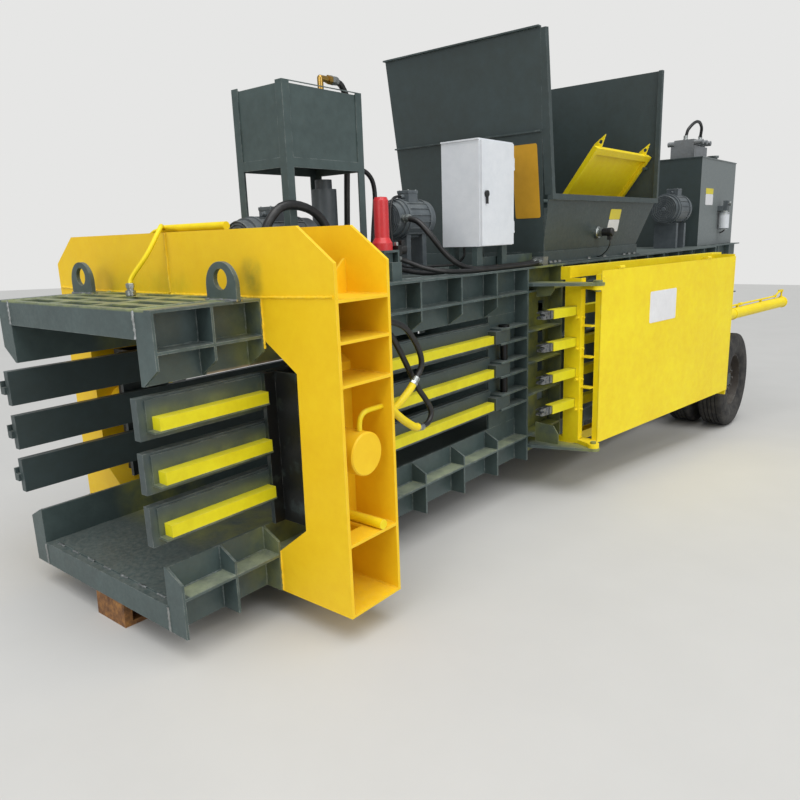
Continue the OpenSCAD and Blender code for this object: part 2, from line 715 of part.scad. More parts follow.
module needle_set() on_machine() color(bar_yellow) on_unit() {
  r = needle_size / 2;
  difference() {
    union() {
      for (z = needle_levels) box([tip_x + 134, needle_y - r, z - r], [carriage_x + 70, needle_y + r, z + r]);
      box([carriage_x, needle_y - r, 25], [carriage_x + 70, needle_y + r, unit_top - 80]);
      box([carriage_x, needle_y - r, unit_top - 100], [carriage_x + 70, 288.7, unit_top - 80]);
      box([carriage_x, needle_y - r, 25], [carriage_x + 70, 288.7, 45]);
      box([carriage_x - 60, 230.3, unit_top - 90], [carriage_x + 130, 288.7, unit_top - 12.4]);
      box([carriage_x - 60, 230.3, -32.7], [carriage_x + 130, 288.7, 35]);
    }
    for (z = needle_levels) box([tip_x, needle_y - r + 5, z - r + 5], [carriage_x - 10, needle_y + r - 5, z + r - 5]);
  }
}

module needle_tips() on_machine() color(black) on_unit()
  for (z = needle_levels) {
    box([tip_x + 104, needle_y - 25, z - 25], [tip_x + 224, needle_y + 25, z + 25]);
    // forked jaw with its wire rollers
    for (s = [-20, 12]) along(needle_y + s, 8) polygon([[tip_x + 6, z - 20], [tip_x + 30, z - 26],
      [tip_x + 128, z - 28], [tip_x + 128, z + 28], [tip_x + 52, z + 26], [tip_x + 10, z + 24],
      [tip_x, z + 18], [tip_x + 40, z + 9], [tip_x + 46, z - 2], [tip_x + 6, z - 8]]);
    for (x = [24, 68]) bar_y(tip_x + x, needle_y - 23, z - 12, 9, 46);
    bar_y(tip_x + 84, needle_y - 23, z + 12, 9, 46);
  }

module needle_barrel() on_machine() color(guard_yellow) on_unit() {
  over = needle_cyl_z + needle_cyl_r + 24;
  tail = needle_cyl_end - unit_length;
  bow_angle = 20;
  bow_z = over + 45;
  bow_x = needle_cyl_end - 90 - (bow_z - over) / tan(bow_angle);
  difference() {
    union() {
      translate([unit_length - 50, needle_y, needle_cyl_z]) rotate([0, 90, 0]) rotate_extrude()
        polygon([[0, 0], [needle_cyl_r, 0], [needle_cyl_r, 50], [80, 50], [80, 70], [needle_cyl_r, 70],
          [needle_cyl_r, tail + 28], [needle_cyl_r + 6, tail + 30], [needle_cyl_r + 6, tail + 50], [0, tail + 50]]);
      // oil pipe along the top, from the gland and over a bow to the rear port
      bar_x(unit_length + 60, needle_y, over, 9, bow_x - unit_length - 60);
      for (x = [unit_length + 60, needle_cyl_end - 30])
        translate([x, needle_y, needle_cyl_z + needle_cyl_r - 4]) cylinder(r = 16, h = 16);
      translate([unit_length + 60, needle_y, needle_cyl_z + 40]) cylinder(r = 9, h = over - needle_cyl_z - 40);
      translate([needle_cyl_end - 30, needle_y, needle_cyl_z + 40]) cylinder(r = 9, h = bow_z - needle_cyl_z - 40);
      translate([bow_x, needle_y, over]) rotate([0, 90 - bow_angle, 0])
        cylinder(r = 9, h = (bow_z - over) / sin(bow_angle));
      bar_x(needle_cyl_end - 90, needle_y, bow_z, 9, 60);
      for (p = [[unit_length + 60, over], [bow_x, over], [needle_cyl_end - 90, bow_z], [needle_cyl_end - 30, bow_z]])
        box([p[0] - 13, needle_y - 13, p[1] - 13], [p[0] + 13, needle_y + 13, p[1] + 13]);
      // clips and union of the pipe, and the collar of the barrel
      for (x = [1, 2]) translate([unit_length + x * tail / 3 - 20, needle_y, needle_cyl_z + 40])
        box([-8, -12, 0], [8, 12, over - needle_cyl_z - 34]);
      bar_x(unit_length + tail / 3 + 20, needle_y, over, 15, 60);
      bar_x(unit_length + tail / 4, needle_y, needle_cyl_z, needle_cyl_r + 5, 22);
    }
    translate([unit_length - 50, needle_y, needle_cyl_z]) rotate([0, 90, 0]) rotate_extrude()
      polygon([[0, -1], [28.05, -1], [28.05, 50], [40.05, 50], [40.05, tail + 20], [0, tail + 20]]);
  }
}

module needle_rod() on_machine() color(bare_steel) on_unit() {
  bar_x(carriage_x + 70, needle_y, needle_cyl_z, 28, needle_cyl_end - 320 - carriage_x - 70);
  bar_x(needle_cyl_end - 320, needle_y, needle_cyl_z, 40, 60);
}

// WHEELS

module stub_axles() on_machine() color(dark_green) both_sides() {
  box([axle_x - 220, outer_half, -floor_depth], [axle_x + 220, outer_half + 20, 260]);
  bar_y(axle_x, outer_half + 19, axle_z, 60, track_half - 600 - outer_half);
  bar_y(axle_x, outer_half + 19, axle_z, 45, track_half - 90 - outer_half - 19);
  bar_y(axle_x, track_half - 91, axle_z, 62, 20);
}

module tyre_profile() difference() {
  w = tyre_width / 2;
  union() {
    polygon([[rim_r, -w + 40], [rim_r + 18, -w + 22], [rim_r + 60, -w + 5], [rim_r + 100, -w],
      [rim_r + 145, -w + 4], [tyre_r - 28, -w + 14], [tyre_r - 8, -w + 26], [tyre_r, -w + 44],
      [tyre_r, w - 44], [tyre_r - 8, w - 26], [tyre_r - 28, w - 14], [rim_r + 145, w - 4],
      [rim_r + 100, w], [rim_r + 60, w - 5], [rim_r + 18, w - 22], [rim_r, w - 40]]);
  }
  for (y = [-54, -18, 18, 54]) translate([tyre_r - 12, y - 4]) square([20, 8]);
}
module tyres() for (i = [0, 1])
  translate([axle_x, track_half - tyre_width / 2 - i * twin_spacing, axle_z]) rotate([-90, 0, 0])
    rotate_extrude() tyre_profile();
module near_tyres() on_machine() color([0.16, 0.16, 0.16]) near_side() tyres();
module far_tyres() on_machine() color([0.16, 0.16, 0.16]) tyres();

module rims() translate([axle_x, 0, axle_z]) {
  w = tyre_width / 2;
  for (i = [0, 1]) translate([0, track_half - w - i * twin_spacing, 0]) difference() {
    rotate([-90, 0, 0]) rotate_extrude() polygon([[rim_r - 12, -w + 36], [rim_r, -w + 40], [rim_r, w - 40],
      [rim_r - 12, w - 36], [rim_r - 14, 18], [120, 30], [110, 46], [80, 46], [80, 34], [110, 30],
      [rim_r - 24, 4], [rim_r - 24, -w + 36]]);
    for (a = [0:60:300]) rotate([0, a, 0]) translate([176, 0, 0]) rotate([-90, 0, 0]) cylinder(r = 26, h = 70);
  }
  difference() {
    rotate([-90, 0, 0]) translate([0, 0, outer_half + 100]) cylinder(r = 82, h = track_half - 92 - outer_half - 100);
    rotate([-90, 0, 0]) translate([0, 0, outer_half]) cylinder(r = 45.05, h = 700);
  }
  for (a = [0:45:315]) rotate([0, a, 0]) translate([97, track_half - w + 44, 0]) rotate([-90, 0, 0])
    cylinder(r = 11, h = 22, $fn = 6);
}
module near_rims() on_machine() color([0.30, 0.28, 0.25]) near_side() rims();
module far_rims() on_machine() color([0.30, 0.28, 0.25]) rims();

// HOPPER

module hopper_base() on_machine() color(dark_green) {
  rear = mouth_rear;
  difference() {
    box([hopper_front, -hopper_half - 10, roof_top], [rear + 10, hopper_half + 10, hopper_bottom]);
    box([mouth_front - 20, -chamber_half, roof_top - 1], [rear - 10, chamber_half, hopper_bottom + 1]);
    box([hopper_front + 14, -chamber_half, roof_top - 1], [mouth_front - 34, chamber_half, hopper_bottom - 12]);
  }
  box([hopper_front + 20, -hopper_half - 50, roof_top], [rear - 20, -hopper_half - 9, roof_top + 12]);
}

// sheet panel between a lower and an upper edge, both along one axis
module panel(p) hull() polyhedron(points = p, faces = [[0, 1, 2, 3], [7, 6, 5, 4], [0, 4, 5, 1],
  [1, 5, 6, 2], [2, 6, 7, 3], [3, 7, 4, 0]]);

module hopper_shell() on_machine() color(dark_green) {
  z0 = hopper_bottom;
  b = hopper_half;
  lean = 190;
  // front wall with its seam flange and rolled top edge
  panel([[hopper_front, -b - 10, z0], [hopper_front, b, z0], [hopper_front - lean, b + 40, hopper_top],
    [hopper_front - lean, -b - 65, hopper_top], [hopper_front + sheet, -b - 10, z0], [hopper_front + sheet, b, z0],
    [hopper_front - lean + sheet, b + 40, hopper_top], [hopper_front - lean + sheet, -b - 65, hopper_top]]);
  box([hopper_front - 134, -b - 40, 2128], [hopper_front - 96, b + 22, 2138]);
  box([hopper_front - lean - 30, -b - 65, hopper_top - 6], [hopper_front - lean + 10, b + 40, hopper_top + 4]);
  // near side panel up to the lip
  panel([[hopper_front, -b, z0], [mouth_rear - 10, -b, z0], [hopper_rear - 10, -b - 70, lip_z],
    [hopper_front - 49, -b - 70, lip_z], [hopper_front, -b + sheet, z0], [mouth_rear - 10, -b + sheet, z0],
    [hopper_rear - 10, -b - 70 + sheet, lip_z], [hopper_front - 49, -b - 70 + sheet, lip_z]]);
  box([hopper_front - 50, -b - 100, lip_z - 14], [hopper_rear, -b - 60, lip_z + 26]);
  // rear wall: slope up to the lip, then upright
  panel([[mouth_rear - 10, -b, z0], [mouth_rear - 10, b, z0], [hopper_rear - 10, b + 20, lip_z],
    [hopper_rear - 10, -b - 70, lip_z], [mouth_rear, -b, z0], [mouth_rear, b, z0],
    [hopper_rear, b + 20, lip_z], [hopper_rear, -b - 70, lip_z]]);
  box([hopper_rear - 10, -b - 70, lip_z - 1], [hopper_rear, b + 30, hopper_top + 40]);
  box([hopper_rear - 10, -b - 70, hopper_top + 34], [hopper_rear + 40, b + 30, hopper_top + 44]);
  // near posts: the front one leans with its wall
  translate([hopper_front - 51, 0, lip_z + 20]) rotate([0, -7.57, 0])
    box([0, -b - 100, 0], [40, -b - 40, hopper_top - lip_z - 20]);
  box([hopper_rear - 40, -b - 100, lip_z + 20], [hopper_rear, -b - 66, hopper_top + 44]);
  // far wall
  panel([[hopper_front, b - sheet, z0], [mouth_rear, b - sheet, z0], [hopper_rear, b + 20 - sheet, lip_z],
    [hopper_front - 49, b + 12 - sheet, lip_z], [hopper_front, b, z0], [mouth_rear, b, z0],
    [hopper_rear, b + 20, lip_z], [hopper_front - 49, b + 12, lip_z]]);
  panel([[hopper_front - 49, b + 12 - sheet, lip_z - 1], [hopper_rear, b + 20 - sheet, lip_z - 1],
    [hopper_rear, b + 38 - sheet, hopper_top], [hopper_front - lean, b + 38 - sheet, hopper_top],
    [hopper_front - 49, b + 12, lip_z - 1], [hopper_rear, b + 20, lip_z - 1],
    [hopper_rear, b + 38, hopper_top], [hopper_front - lean, b + 38, hopper_top]]);
}

module flap_shaft() on_machine() color(steel_green) {
  bar_x(hopper_front - 38, flap_y, flap_z, 18, hopper_rear - 22.8 - hopper_front + 38);
  // stop peg for the flap on the rear wall
  bar_x(hopper_rear - 80, flap_y - 52.3 * cos(flap_lean) - 400 * sin(flap_lean),
    flap_z - 52.3 * sin(flap_lean) + 400 * cos(flap_lean), 12, 70);
}

module feed_flap() on_machine() color(guard_yellow) {
  length = 497;
  translate([3990, flap_y, flap_z]) rotate([flap_lean, 0, 0]) difference() {
    union() {
      box([10, -6, 10], [1160, 0, length]);
      for (x = [0, 1120]) box([x, -40, 10], [x + 50, 0, length + 10]);
      box([0, -40, length - 40], [1170, 0, length + 10]);
      box([0, -30, 20], [1170, 0, 60]);
      for (x = [90, 1040]) across(x, 14) polygon([[-30, length], [40, length], [5, length + 110]]);
      for (x = [0, 560, 1110]) bar_x(x, 0, 0, 34, 60);
    }
    bar_x(-20, 0, 0, 18.05, 1300);
    for (x = [90, 1040]) bar_x(x - 10, 5, length + 45, 16, 60);
  }
}

// FRONT TOP EQUIPMENT

module angle_leg(x, y, sx, sy) {
  box([min(x, x + sx * 50), min(y, y + sy * 5), roof_top], [max(x, x + sx * 50), max(y, y + sy * 5), stand_top]);
  box([min(x, x + sx * 5), min(y, y + sy * 50), roof_top], [max(x, x + sx * 5), max(y, y + sy * 50), stand_top]);
}
module tank_stand() on_machine() color(steel_green) {
  x1 = stand_x + stand_l;
  for (s = [-1, 1]) {
    angle_leg(stand_x, s * stand_half, 1, -s);
    angle_leg(x1, s * stand_half, -1, -s);
  }
  difference() {
    box([stand_x, -stand_half, stand_shelf - 50], [x1, stand_half, stand_shelf]);
    box([stand_x + 5, -stand_half + 5, stand_shelf - 51], [x1 - 5, stand_half - 5, stand_shelf - 5]);
    box([stand_x + 50, -stand_half + 50, stand_shelf - 51], [x1 - 50, stand_half - 50, stand_shelf + 1]);
  }
  box([stand_x, -stand_half, stand_top - 5], [x1, -stand_half + 5, stand_top]);
  for (x = [stand_x, x1 - 60]) for (y = [-stand_half, stand_half - 60])
    box([x, y, roof_top], [x + 60, y + 60, roof_top + 8]);
}

module header_tank() on_machine() color(steel_green) {
  x1 = stand_x + stand_l - 6;
  difference() {
    box([stand_x + 6, -stand_half + 6, stand_shelf], [x1, stand_half - 6, stand_top - 14]);
    box([stand_x + 12, -stand_half + 12, stand_shelf - 1], [x1 - 6, stand_half - 12, stand_top - 20]);
  }
  box([stand_x + 60, -stand_half + 60, stand_top - 15], [stand_x + 200, -stand_half + 200, stand_top - 6]);
  translate([stand_x + 400, 60, stand_top - 15]) cylinder(r = 45, h = 50);
}

module tank_elbow() on_machine() color([0.72, 0.58, 0.30]) translate([stand_x + 420, -60, stand_top - 14]) {
  cylinder(r = 24, h = 30);
  cylinder(r = 17, h = 92);
  translate([0, 0, 92]) sphere(r = 17);
  rotate([0, 90, 0]) translate([-92, 0, 0]) cylinder(r = 17, h = 80);
  rotate([0, 90, 0]) translate([-92, 0, 58]) cylinder(r = 25, h = 26, $fn = 6);
}

module motor(l, r) {
  rotate([0, 90, 0]) cylinder(r = r, h = l);
  for (x = [0.1 * l, 0.8 * l]) translate([x, 0, 0]) rotate([0, 90, 0]) cylinder(r = r + 8, h = 14);
  for (a = [0:20:340]) rotate([a, 0, 0]) box([0.14 * l, -2, r - 2], [0.8 * l, 2, r + 7]);
  rotate([0, 90, 0]) translate([0, 0, l - 1]) cylinder(r = 0.45 * r, h = 60);
  rotate([0, 90, 0]) translate([0, 0, -40]) cylinder(r = 0.9 * r, h = 41);
  box([0.3 * l, -r * 0.55, r * 0.8], [0.6 * l, r * 0.2, r + 50]);
}
module pump_motors() on_machine() color([0.35, 0.38, 0.40]) {
  // motor and pump under the header tank
  translate([1010, 0, roof_top + 230]) motor(440, 128);
  for (x = [1070, 1330]) box([x, -110, roof_top], [x + 50, 110, roof_top + 130]);
  // upright filter column
  translate([1660, 40, roof_top]) cylinder(r = 75, h = 520);
  translate([1660, 40, roof_top + 515]) cylinder(r = 50, h = 60);
  // cooler motor behind the accumulator
  translate([2010, -190, roof_top + 340]) motor(300, 115);
  for (x = [2060, 2220]) box([x, -260, roof_top], [x + 40, -120, roof_top + 260]);
}

module accumulator() on_machine() color([0.80, 0.20, 0.22]) translate([acc_x, acc_y, 0]) rotate_extrude()
  polygon([[0, 1400], [58, 1400], [58, 1440], [42, 1470], [42, 1672], [34, 1690], [0, 1694]]);

module accumulator_bracket() on_machine() color(steel_green) {
  box([1590, -470, roof_top], [1602, -340, 1400]);
  box([1712, -470, roof_top], [1724, -340, 1400]);
  box([1590, -470, 1388], [1724, -330, 1400]);
  box([1500, -600, roof_top], [1580, -590, 1340]);
  box([1500, -600, roof_top], [1510, -520, 1340]);
  box([1640, -440, 1300], [1700, -360, 1389]);
}

module control_cabinet() on_machine() color([0.82, 0.84, 0.86]) {
  // hinge pins of the door on their ears
  for (z = [cab_z0 + 90, cab_z1 - 150]) translate([cab_x + cab_l - 4, cab_y0 - 10, z - 14]) {
    cylinder(r = 4, h = 86);
    cylinder(r = 8, h = 13.7);
    box([0, -4, 0], [12, 40, 13.7]);
  }
  difference() {
  union() {
    box([cab_x, cab_y0, cab_z0], [cab_x + cab_l, cab_y1, cab_z1]);
    box([cab_x - 8, cab_y0, cab_z1 - 1], [cab_x + cab_l + 8, cab_y1, cab_z1 + 8]);
  }
  box([cab_x + 14, cab_y0 - 1, cab_z0 + 14], [cab_x + cab_l - 14, cab_y1 - 20, cab_z1 - 14]);
  }
}
module cabinet_door() on_machine() color([0.85, 0.87, 0.89]) difference() {
  union() {
    box([cab_x + 4, cab_y0 - 18.3, cab_z0 + 4], [cab_x + cab_l - 12, cab_y0 - 0.3, cab_z1 - 4]);
    for (z = [cab_z0 + 90, cab_z1 - 150]) translate([cab_x + cab_l - 4, cab_y0 - 10, z]) cylinder(r = 8, h = 60);
    for (z = [cab_z0 + 90, cab_z1 - 150])
      box([cab_x + cab_l - 14, cab_y0 - 13, z], [cab_x + cab_l - 4, cab_y0 - 7, z + 60]);
  }
  bar_y(cab_x + 50, cab_y0 - 20, (cab_z0 + cab_z1) / 2, 9.05, 30);
  translate([cab_x + cab_l - 4, cab_y0 - 10, cab_z0]) cylinder(r = 4.05, h = 700);
}
module cabinet_latch() on_machine() color(black) {
  zc = (cab_z0 + cab_z1) / 2;
  bar_y(cab_x + 50, cab_y0 - 30, zc, 9, 42);
  bar_y(cab_x + 50, cab_y0 - 32, zc, 20, 13);
  box([cab_x + 42, cab_y0 - 32, zc - 60], [cab_x + 58, cab_y0 - 24, zc + 15]);
}
module cabinet_stand() on_machine() color(steel_green) {
  for (y = [cab_y0 + 30, cab_y1 - 70]) {
    box([cab_x + 20, y, roof_top], [cab_x + 80, y + 40, cab_z0]);
    box([cab_x + cab_l - 80, y, roof_top], [cab_x + cab_l - 20, y + 40, cab_z0]);
  }
  // low plate on edge that keeps the deck hoses away from the cabinet's back
  box([cab_x + 90, cab_y0 + 80, roof_top], [hopper_front - 10, cab_y0 + 92, roof_top + 85]);
}

// REAR TOP EQUIPMENT

module oil_tank() on_machine() color([0.62, 0.65, 0.66]) {
  difference() {
    box([tank_x, -tank_half, roof_top], [frame_end, tank_half, tank_top]);
    box([tank_x + 6, -tank_half + 6, roof_top - 1], [frame_end - 6, tank_half - 6, tank_top - 6]);
  }
  box([tank_x - 10, -tank_half - 6, tank_top - 1], [frame_end + 10, tank_half + 6, tank_top + 10]);
  bar_x(tank_x - 14, -60, 1560, 120, 15);
  for (a = [0:45:315]) bar_x(tank_x - 22, -60 + 100 * cos(a), 1560 + 100 * sin(a), 8, 10);
  translate([tank_x + 1100, -250, tank_top + 8]) cylinder(r = 55, h = 70);
  translate([tank_x + 1100, -250, tank_top + 70]) cylinder(r = 70, h = 24);
}
module valve_block() on_machine() color(bare_steel) {
  z = tank_top + 10;
  box([tank_x + 80, -330, z], [tank_x + 560, -60, z + 140]);
  for (i = [0:2]) {
    box([tank_x + 100 + i * 150, -310, z + 139], [tank_x + 210 + i * 150, -90, z + 210]);
    bar_y(tank_x + 155 + i * 150, -400, z + 175, 28, 100);
    bar_y(tank_x + 155 + i * 150, -92, z + 175, 28, 90);
  }
  translate([tank_x + 700, -200, z]) cylinder(r = 60, h = 190);
  translate([tank_x + 700, -200, z + 189]) cylinder(r = 36, h = 60);
  // junction block where the deck hoses end at the needle station
  box([junction_x, -outer_half + 5, roof_top], [junction_x + 70, -outer_half + 93, roof_top + 60]);
}
module rear_pump() on_machine() color([0.35, 0.38, 0.40]) {
  // motor between the hopper and the tank, pumping through the tank flange
  translate([pump_x, -300, roof_top + 420]) motor(420, 160);
  for (x = [pump_x + 40, pump_x + 300]) box([x, -420, roof_top], [x + 60, -180, roof_top + 270]);
  bar_x(pump_x + 470, -300, roof_top + 420, 60, tank_x - pump_x - 470);
  // service filter on the tank side
  box([filter_x - 60, -tank_half - 60, 1640], [filter_x + 60, -tank_half, 1700]);
  translate([filter_x, -tank_half - 70, 1420]) cylinder(r = 55, h = 221);
  box([filter_x - 40, -tank_half - 110, 1640], [filter_x + 40, -tank_half - 59, 1760]);
}

// PIPES AND HOSES

// three points in a line, so that a hose leaves or meets a face squarely
function lead_out(p, d) = [p, p + 12 * d, p + 24 * d];
function lead_in(p, d) = [p + 24 * d, p + 12 * d, p];

module oil_pipes() on_machine() color(guard_yellow) {
  // pipe across the portal crown with its bent branch
  bar_y(625, -354, portal_top + 19, 19, 524);
  sweep([[625, 165, portal_top + 19], [612, 235, portal_top], [590, 330, 1400], [566, 396, roof_top + 40]], 9, [1, 0, 0]);
  // squeeze cylinder elbow up to the rear plate, painted hoses behind it, open drain tube
  top = squeeze_z + 176;
  both_sides() {
    sweep(concat(lead_out([squeeze_x, 1050, squeeze_z + squeeze_r + 0.9], [0, 0, 1]),
      [[squeeze_x + 10, 1050, top - 22], [squeeze_x + 40, 1050, top - 2]],
      lead_in([portal_rear - wall_plate - 0.4, 1050, top], [-1, 0, 0])), 12, [0, 1, 0]);
    sweep(concat(lead_out([portal_rear + 0.4, 1050, 742], [1, 0, 0]), [[950, 1042, 690], [1020, 1036, 638]],
      lead_in(low_union, -low_way)), 20, [0, 1, 0]);
    sweep(concat(lead_out([portal_rear + 0.4, 990, 660], [1, 0, 0]), [[940, 1008, 686], [1010, 1034, 738]],
      lead_in(high_union, -high_way)), 18, [0, 1, 0]);
    bar_y(760, 880, 205 + 22.8, 22.5, 230);
  }
}

module hoses() on_machine() color(black) {
  // two hoses behind each portal leg
  both_sides() {
    sweep(concat(lead_out([portal_rear + 0.4, 1030, 1120], [1, 0, 0]), [[981, 1040, 1098], [1053, 1044, 1059],
      [1130, 1048, 958], [1148, 1048, 880]], lead_in(high_union + 0.5 * high_way, high_way)), 14, [0, 1, 0]);
    sweep(concat(lead_out([portal_rear + 0.4, 990, 1085], [1, 0, 0]), [[979, 996, 1052], [1023, 1000, 996],
      [1107, 1000, 869], [1168, 1006, 764], [1222, 1016, 690], [1250, 1022, 630], [1219, 1028, 585]],
      lead_in(low_union + 0.5 * low_way, low_way)), 14, [0, 1, 0]);
  }
  deck = roof_top + 0.3;
  // header tank return down to the deck
  sweep(concat(lead_out([stand_x + 504.4, -60, stand_top + 78], [1, 0, 0]), [[stand_x + 590, -60, stand_top + 60],
    [stand_x + 655, -50, stand_top - 50], [stand_x + 670, 0, 1900]],
    lead_in([stand_x + 670, 40, deck], [0, 0, 1])), 18, [0, 1, 0]);
  // header tank line past the cooler pump to the deck
  sweep(concat(lead_out([stand_x + stand_l + 0.4, -120, stand_shelf - 27], [1, 0, 0]), [[1850, -120, 1860],
    [1915, -118, 1815], [1945, -112, 1740], [1945, -106, 1640], [1930, -100, 1500], [1915, -100, 1350]],
    lead_in([1912, -100, deck], [0, 0, 1])), 14, [0, 1, 0]);
  // suction loop round the front of the motor
  sweep(concat(lead_out([905, -250, deck], [0, 0, 1]), [[915, -255, 1480], [1010, -262, 1620], [1130, -268, 1650],
    [1290, -270, 1600], [1370, -272, 1480]], lead_in([1385, -270, deck], [0, 0, 1])), 24, [0, 1, 0]);
  // pump and pressure lines along the deck edge to the needle station
  sweep(concat(lead_out([1990, -293.9, 1579], [0, -1, 0]), [[1995, -400, 1556], [2012, -480, 1475],
    [2060, -545, 1370], [2150, -588, 1295], [2270, -600, deck + 25], [2400, -600, deck + 19],
    [2600, -600, deck + 18], [2800, -602, deck + 18], [2960, -603, deck + 20]],
    lead_in([junction_x - 0.4, -603, deck + 26], [-1, 0, 0])), 18, [0.3, 0, 1]);
  sweep(concat(lead_out([1724.4, -440, 1350], [1, 0, 0]), [[1800, -460, 1332], [1870, -525, 1292],
    [1970, -600, deck + 27], [2120, -634, deck + 18], [2400, -640, deck + 14], [2700, -638, deck + 14],
    [2950, -640, deck + 16]], lead_in([junction_x - 0.4, -642, deck + 24], [-1, 0, 0])), 14);
  sweep(concat(lead_out([1724.4, -400, 1300], [1, 0, 0]), [[1830, -412, 1280], [1940, -452, deck + 19],
    [2060, -488, deck + 14], [2160, -480, deck + 14], [2222, -430, deck + 14], [2240, -360, deck + 14]],
    lead_in([2240, -260.4, deck + 14], [0, -1, 0])), 14);
  // rear tank line over the valve block
  sweep(concat(lead_out([tank_x + 155, -200, tank_top + 220.4], [0, 0, 1]), [[tank_x + 175, -220, tank_top + 340],
    [tank_x + 380, -250, tank_top + 440], [tank_x + 630, -230, tank_top + 400]],
    lead_in([tank_x + 700, -200, tank_top + 259.4], [0, 0, 1])), 18, [0, 1, 0]);
}

floor_deck();
floor_liner();
near_lower_box();
far_lower_box();
near_upper_box();
far_upper_box();
exit_roof();
roof_deck();
needle_station();
near_press_wall();
far_press_wall();
shear_knife();
rear_frame();
portal_front_plate();
portal_rear_plate();
portal_shelves();
near_clamp();
far_clamp();
near_clamp_bars();
far_clamp_bars();
squeeze_barrels();
near_squeeze_rod();
far_squeeze_rod();
clamp_pins();
lifting_lugs();
prop_block();
tank_stand();
header_tank();
tank_elbow();
pump_motors();
accumulator();
accumulator_bracket();
control_cabinet();
cabinet_door();
cabinet_latch();
cabinet_stand();
hopper_base();
hopper_shell();
flap_shaft();
feed_flap();
oil_tank();
valve_block();
rear_pump();
main_barrel();
ram_rod();
ram();
needle_bracket();
needle_frame();
needle_guard();
needle_set();
needle_tips();
needle_barrel();
needle_rod();
stub_axles();
near_tyres();
far_tyres();
near_rims();
far_rims();
hoses();
oil_pipes();
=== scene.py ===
"""Looks of a horizontal waste baler, laid out as a Blender add-on and run as a script.

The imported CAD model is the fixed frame: each operator paints its parts or adds pieces that the
solids leave out, such as weld beads, bolts, fittings and bare plates. All sizes are metres.
"""
import json
import math

import bmesh
import bpy
from bpy.props import FloatProperty, IntProperty, PointerProperty, StringProperty
from mathutils import Matrix, Vector


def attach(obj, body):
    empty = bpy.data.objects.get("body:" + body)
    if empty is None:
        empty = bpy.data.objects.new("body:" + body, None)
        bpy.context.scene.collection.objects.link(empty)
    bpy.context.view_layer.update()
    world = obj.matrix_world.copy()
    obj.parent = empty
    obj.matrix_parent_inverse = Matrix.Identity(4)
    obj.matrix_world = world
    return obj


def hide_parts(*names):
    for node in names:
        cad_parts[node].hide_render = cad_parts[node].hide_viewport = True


bl_info = {
    "name": "Waste Baler Looks",
    "version": (1, 0, 0),
    "blender": (4, 5, 0),
    "location": "3D View > Sidebar > Baler",
    "description": "Paint, weld beads, fasteners, fittings and studio for a horizontal waste baler",
    "category": "Object",
}

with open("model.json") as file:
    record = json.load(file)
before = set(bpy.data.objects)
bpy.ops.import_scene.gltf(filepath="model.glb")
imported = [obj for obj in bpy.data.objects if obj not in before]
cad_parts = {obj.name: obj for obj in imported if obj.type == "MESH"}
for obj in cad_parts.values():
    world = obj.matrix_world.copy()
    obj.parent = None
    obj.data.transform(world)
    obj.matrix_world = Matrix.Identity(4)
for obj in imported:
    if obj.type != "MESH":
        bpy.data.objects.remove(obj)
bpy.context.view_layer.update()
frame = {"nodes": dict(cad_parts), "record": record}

# The machine stands nose-down on its block, so its own axes are turned a little in the part's frame.
STANCE_PITCH = math.radians(2.1)
FOOT = Vector((0.100, 0.0, -0.252))
# The needle unit is drawn in its own frame: along the frame, inboard, up.
UNIT_ORIGIN = Vector((3.049, -1.085, 0.0))
UNIT_TURN = math.radians(-7.5)


def machine(x, y, z):
    """A point in the machine's own axes, in metres, as a point in the part's frame."""
    at = Vector((x, y, z)) - FOOT
    return Matrix.Rotation(-STANCE_PITCH, 3, "Y") @ at


def unit(x, y, z):
    """A point in the needle unit's frame as a point in the part's frame."""
    at = UNIT_ORIGIN + Matrix.Rotation(UNIT_TURN, 3, "Z") @ Vector((x, y, z))
    return machine(*at)


def linear(colour):
    """An sRGB hex colour as linear red, green, blue, alpha."""
    levels = [int(colour[i:i + 2], 16) / 255 for i in (1, 3, 5)]
    return tuple(c / 12.92 if c <= 0.04045 else ((c + 0.055) / 1.055) ** 2.4 for c in levels) + (1.0,)


def add(tree, kind, inputs=None, **settings):
    """Add one node to a tree, with its settings, and its inputs as values or as other nodes' outputs."""
    node = tree.nodes.new(kind)
    for name, value in settings.items():
        setattr(node, name, value)
    for key, value in (inputs or {}).items():
        if isinstance(value, bpy.types.NodeSocket):
            tree.links.new(value, node.inputs[key])
        else:
            node.inputs[key].default_value = value
    return node


def new_material(name):
    """An empty material with its Principled shader and output, and coordinates in the machine's own axes."""
    material = bpy.data.materials.new(name)
    material.use_nodes = True
    tree = material.node_tree
    tree.nodes.clear()
    shader = add(tree, "ShaderNodeBsdfPrincipled")
    add(tree, "ShaderNodeOutputMaterial", {"Surface": shader.outputs[0]})
    place = add(tree, "ShaderNodeTexCoord").outputs["Object"]
    place = add(tree, "ShaderNodeMapping", {0: place, "Location": FOOT, "Rotation": (0.0, STANCE_PITCH, 0.0)})
    return material, tree, shader, place.outputs[0]


def noise(tree, place, scale, detail, roughness=0.5):
    """Noise over the given coordinates."""
    return add(tree, "ShaderNodeTexNoise", {"Vector": place, "Scale": scale, "Detail": detail,
                                            "Roughness": roughness}).outputs[0]


def spread(tree, value, low, high, start=0.0, end=1.0, **settings):
    """A value between low and high, stretched to lie between start and end."""
    return add(tree, "ShaderNodeMapRange", {"Value": value, "From Min": low, "From Max": high,
                                            "To Min": start, "To Max": end}, **settings).outputs[0]


def calc(tree, operation, first, second, **settings):
    """One step of arithmetic on two numbers."""
    return add(tree, "ShaderNodeMath", {0: first, 1: second}, operation=operation, **settings).outputs[0]


def vector(tree, operation, *values, output=0):
    """One step of arithmetic on one or two vectors."""
    return add(tree, "ShaderNodeVectorMath", dict(enumerate(values)), operation=operation).outputs[output]


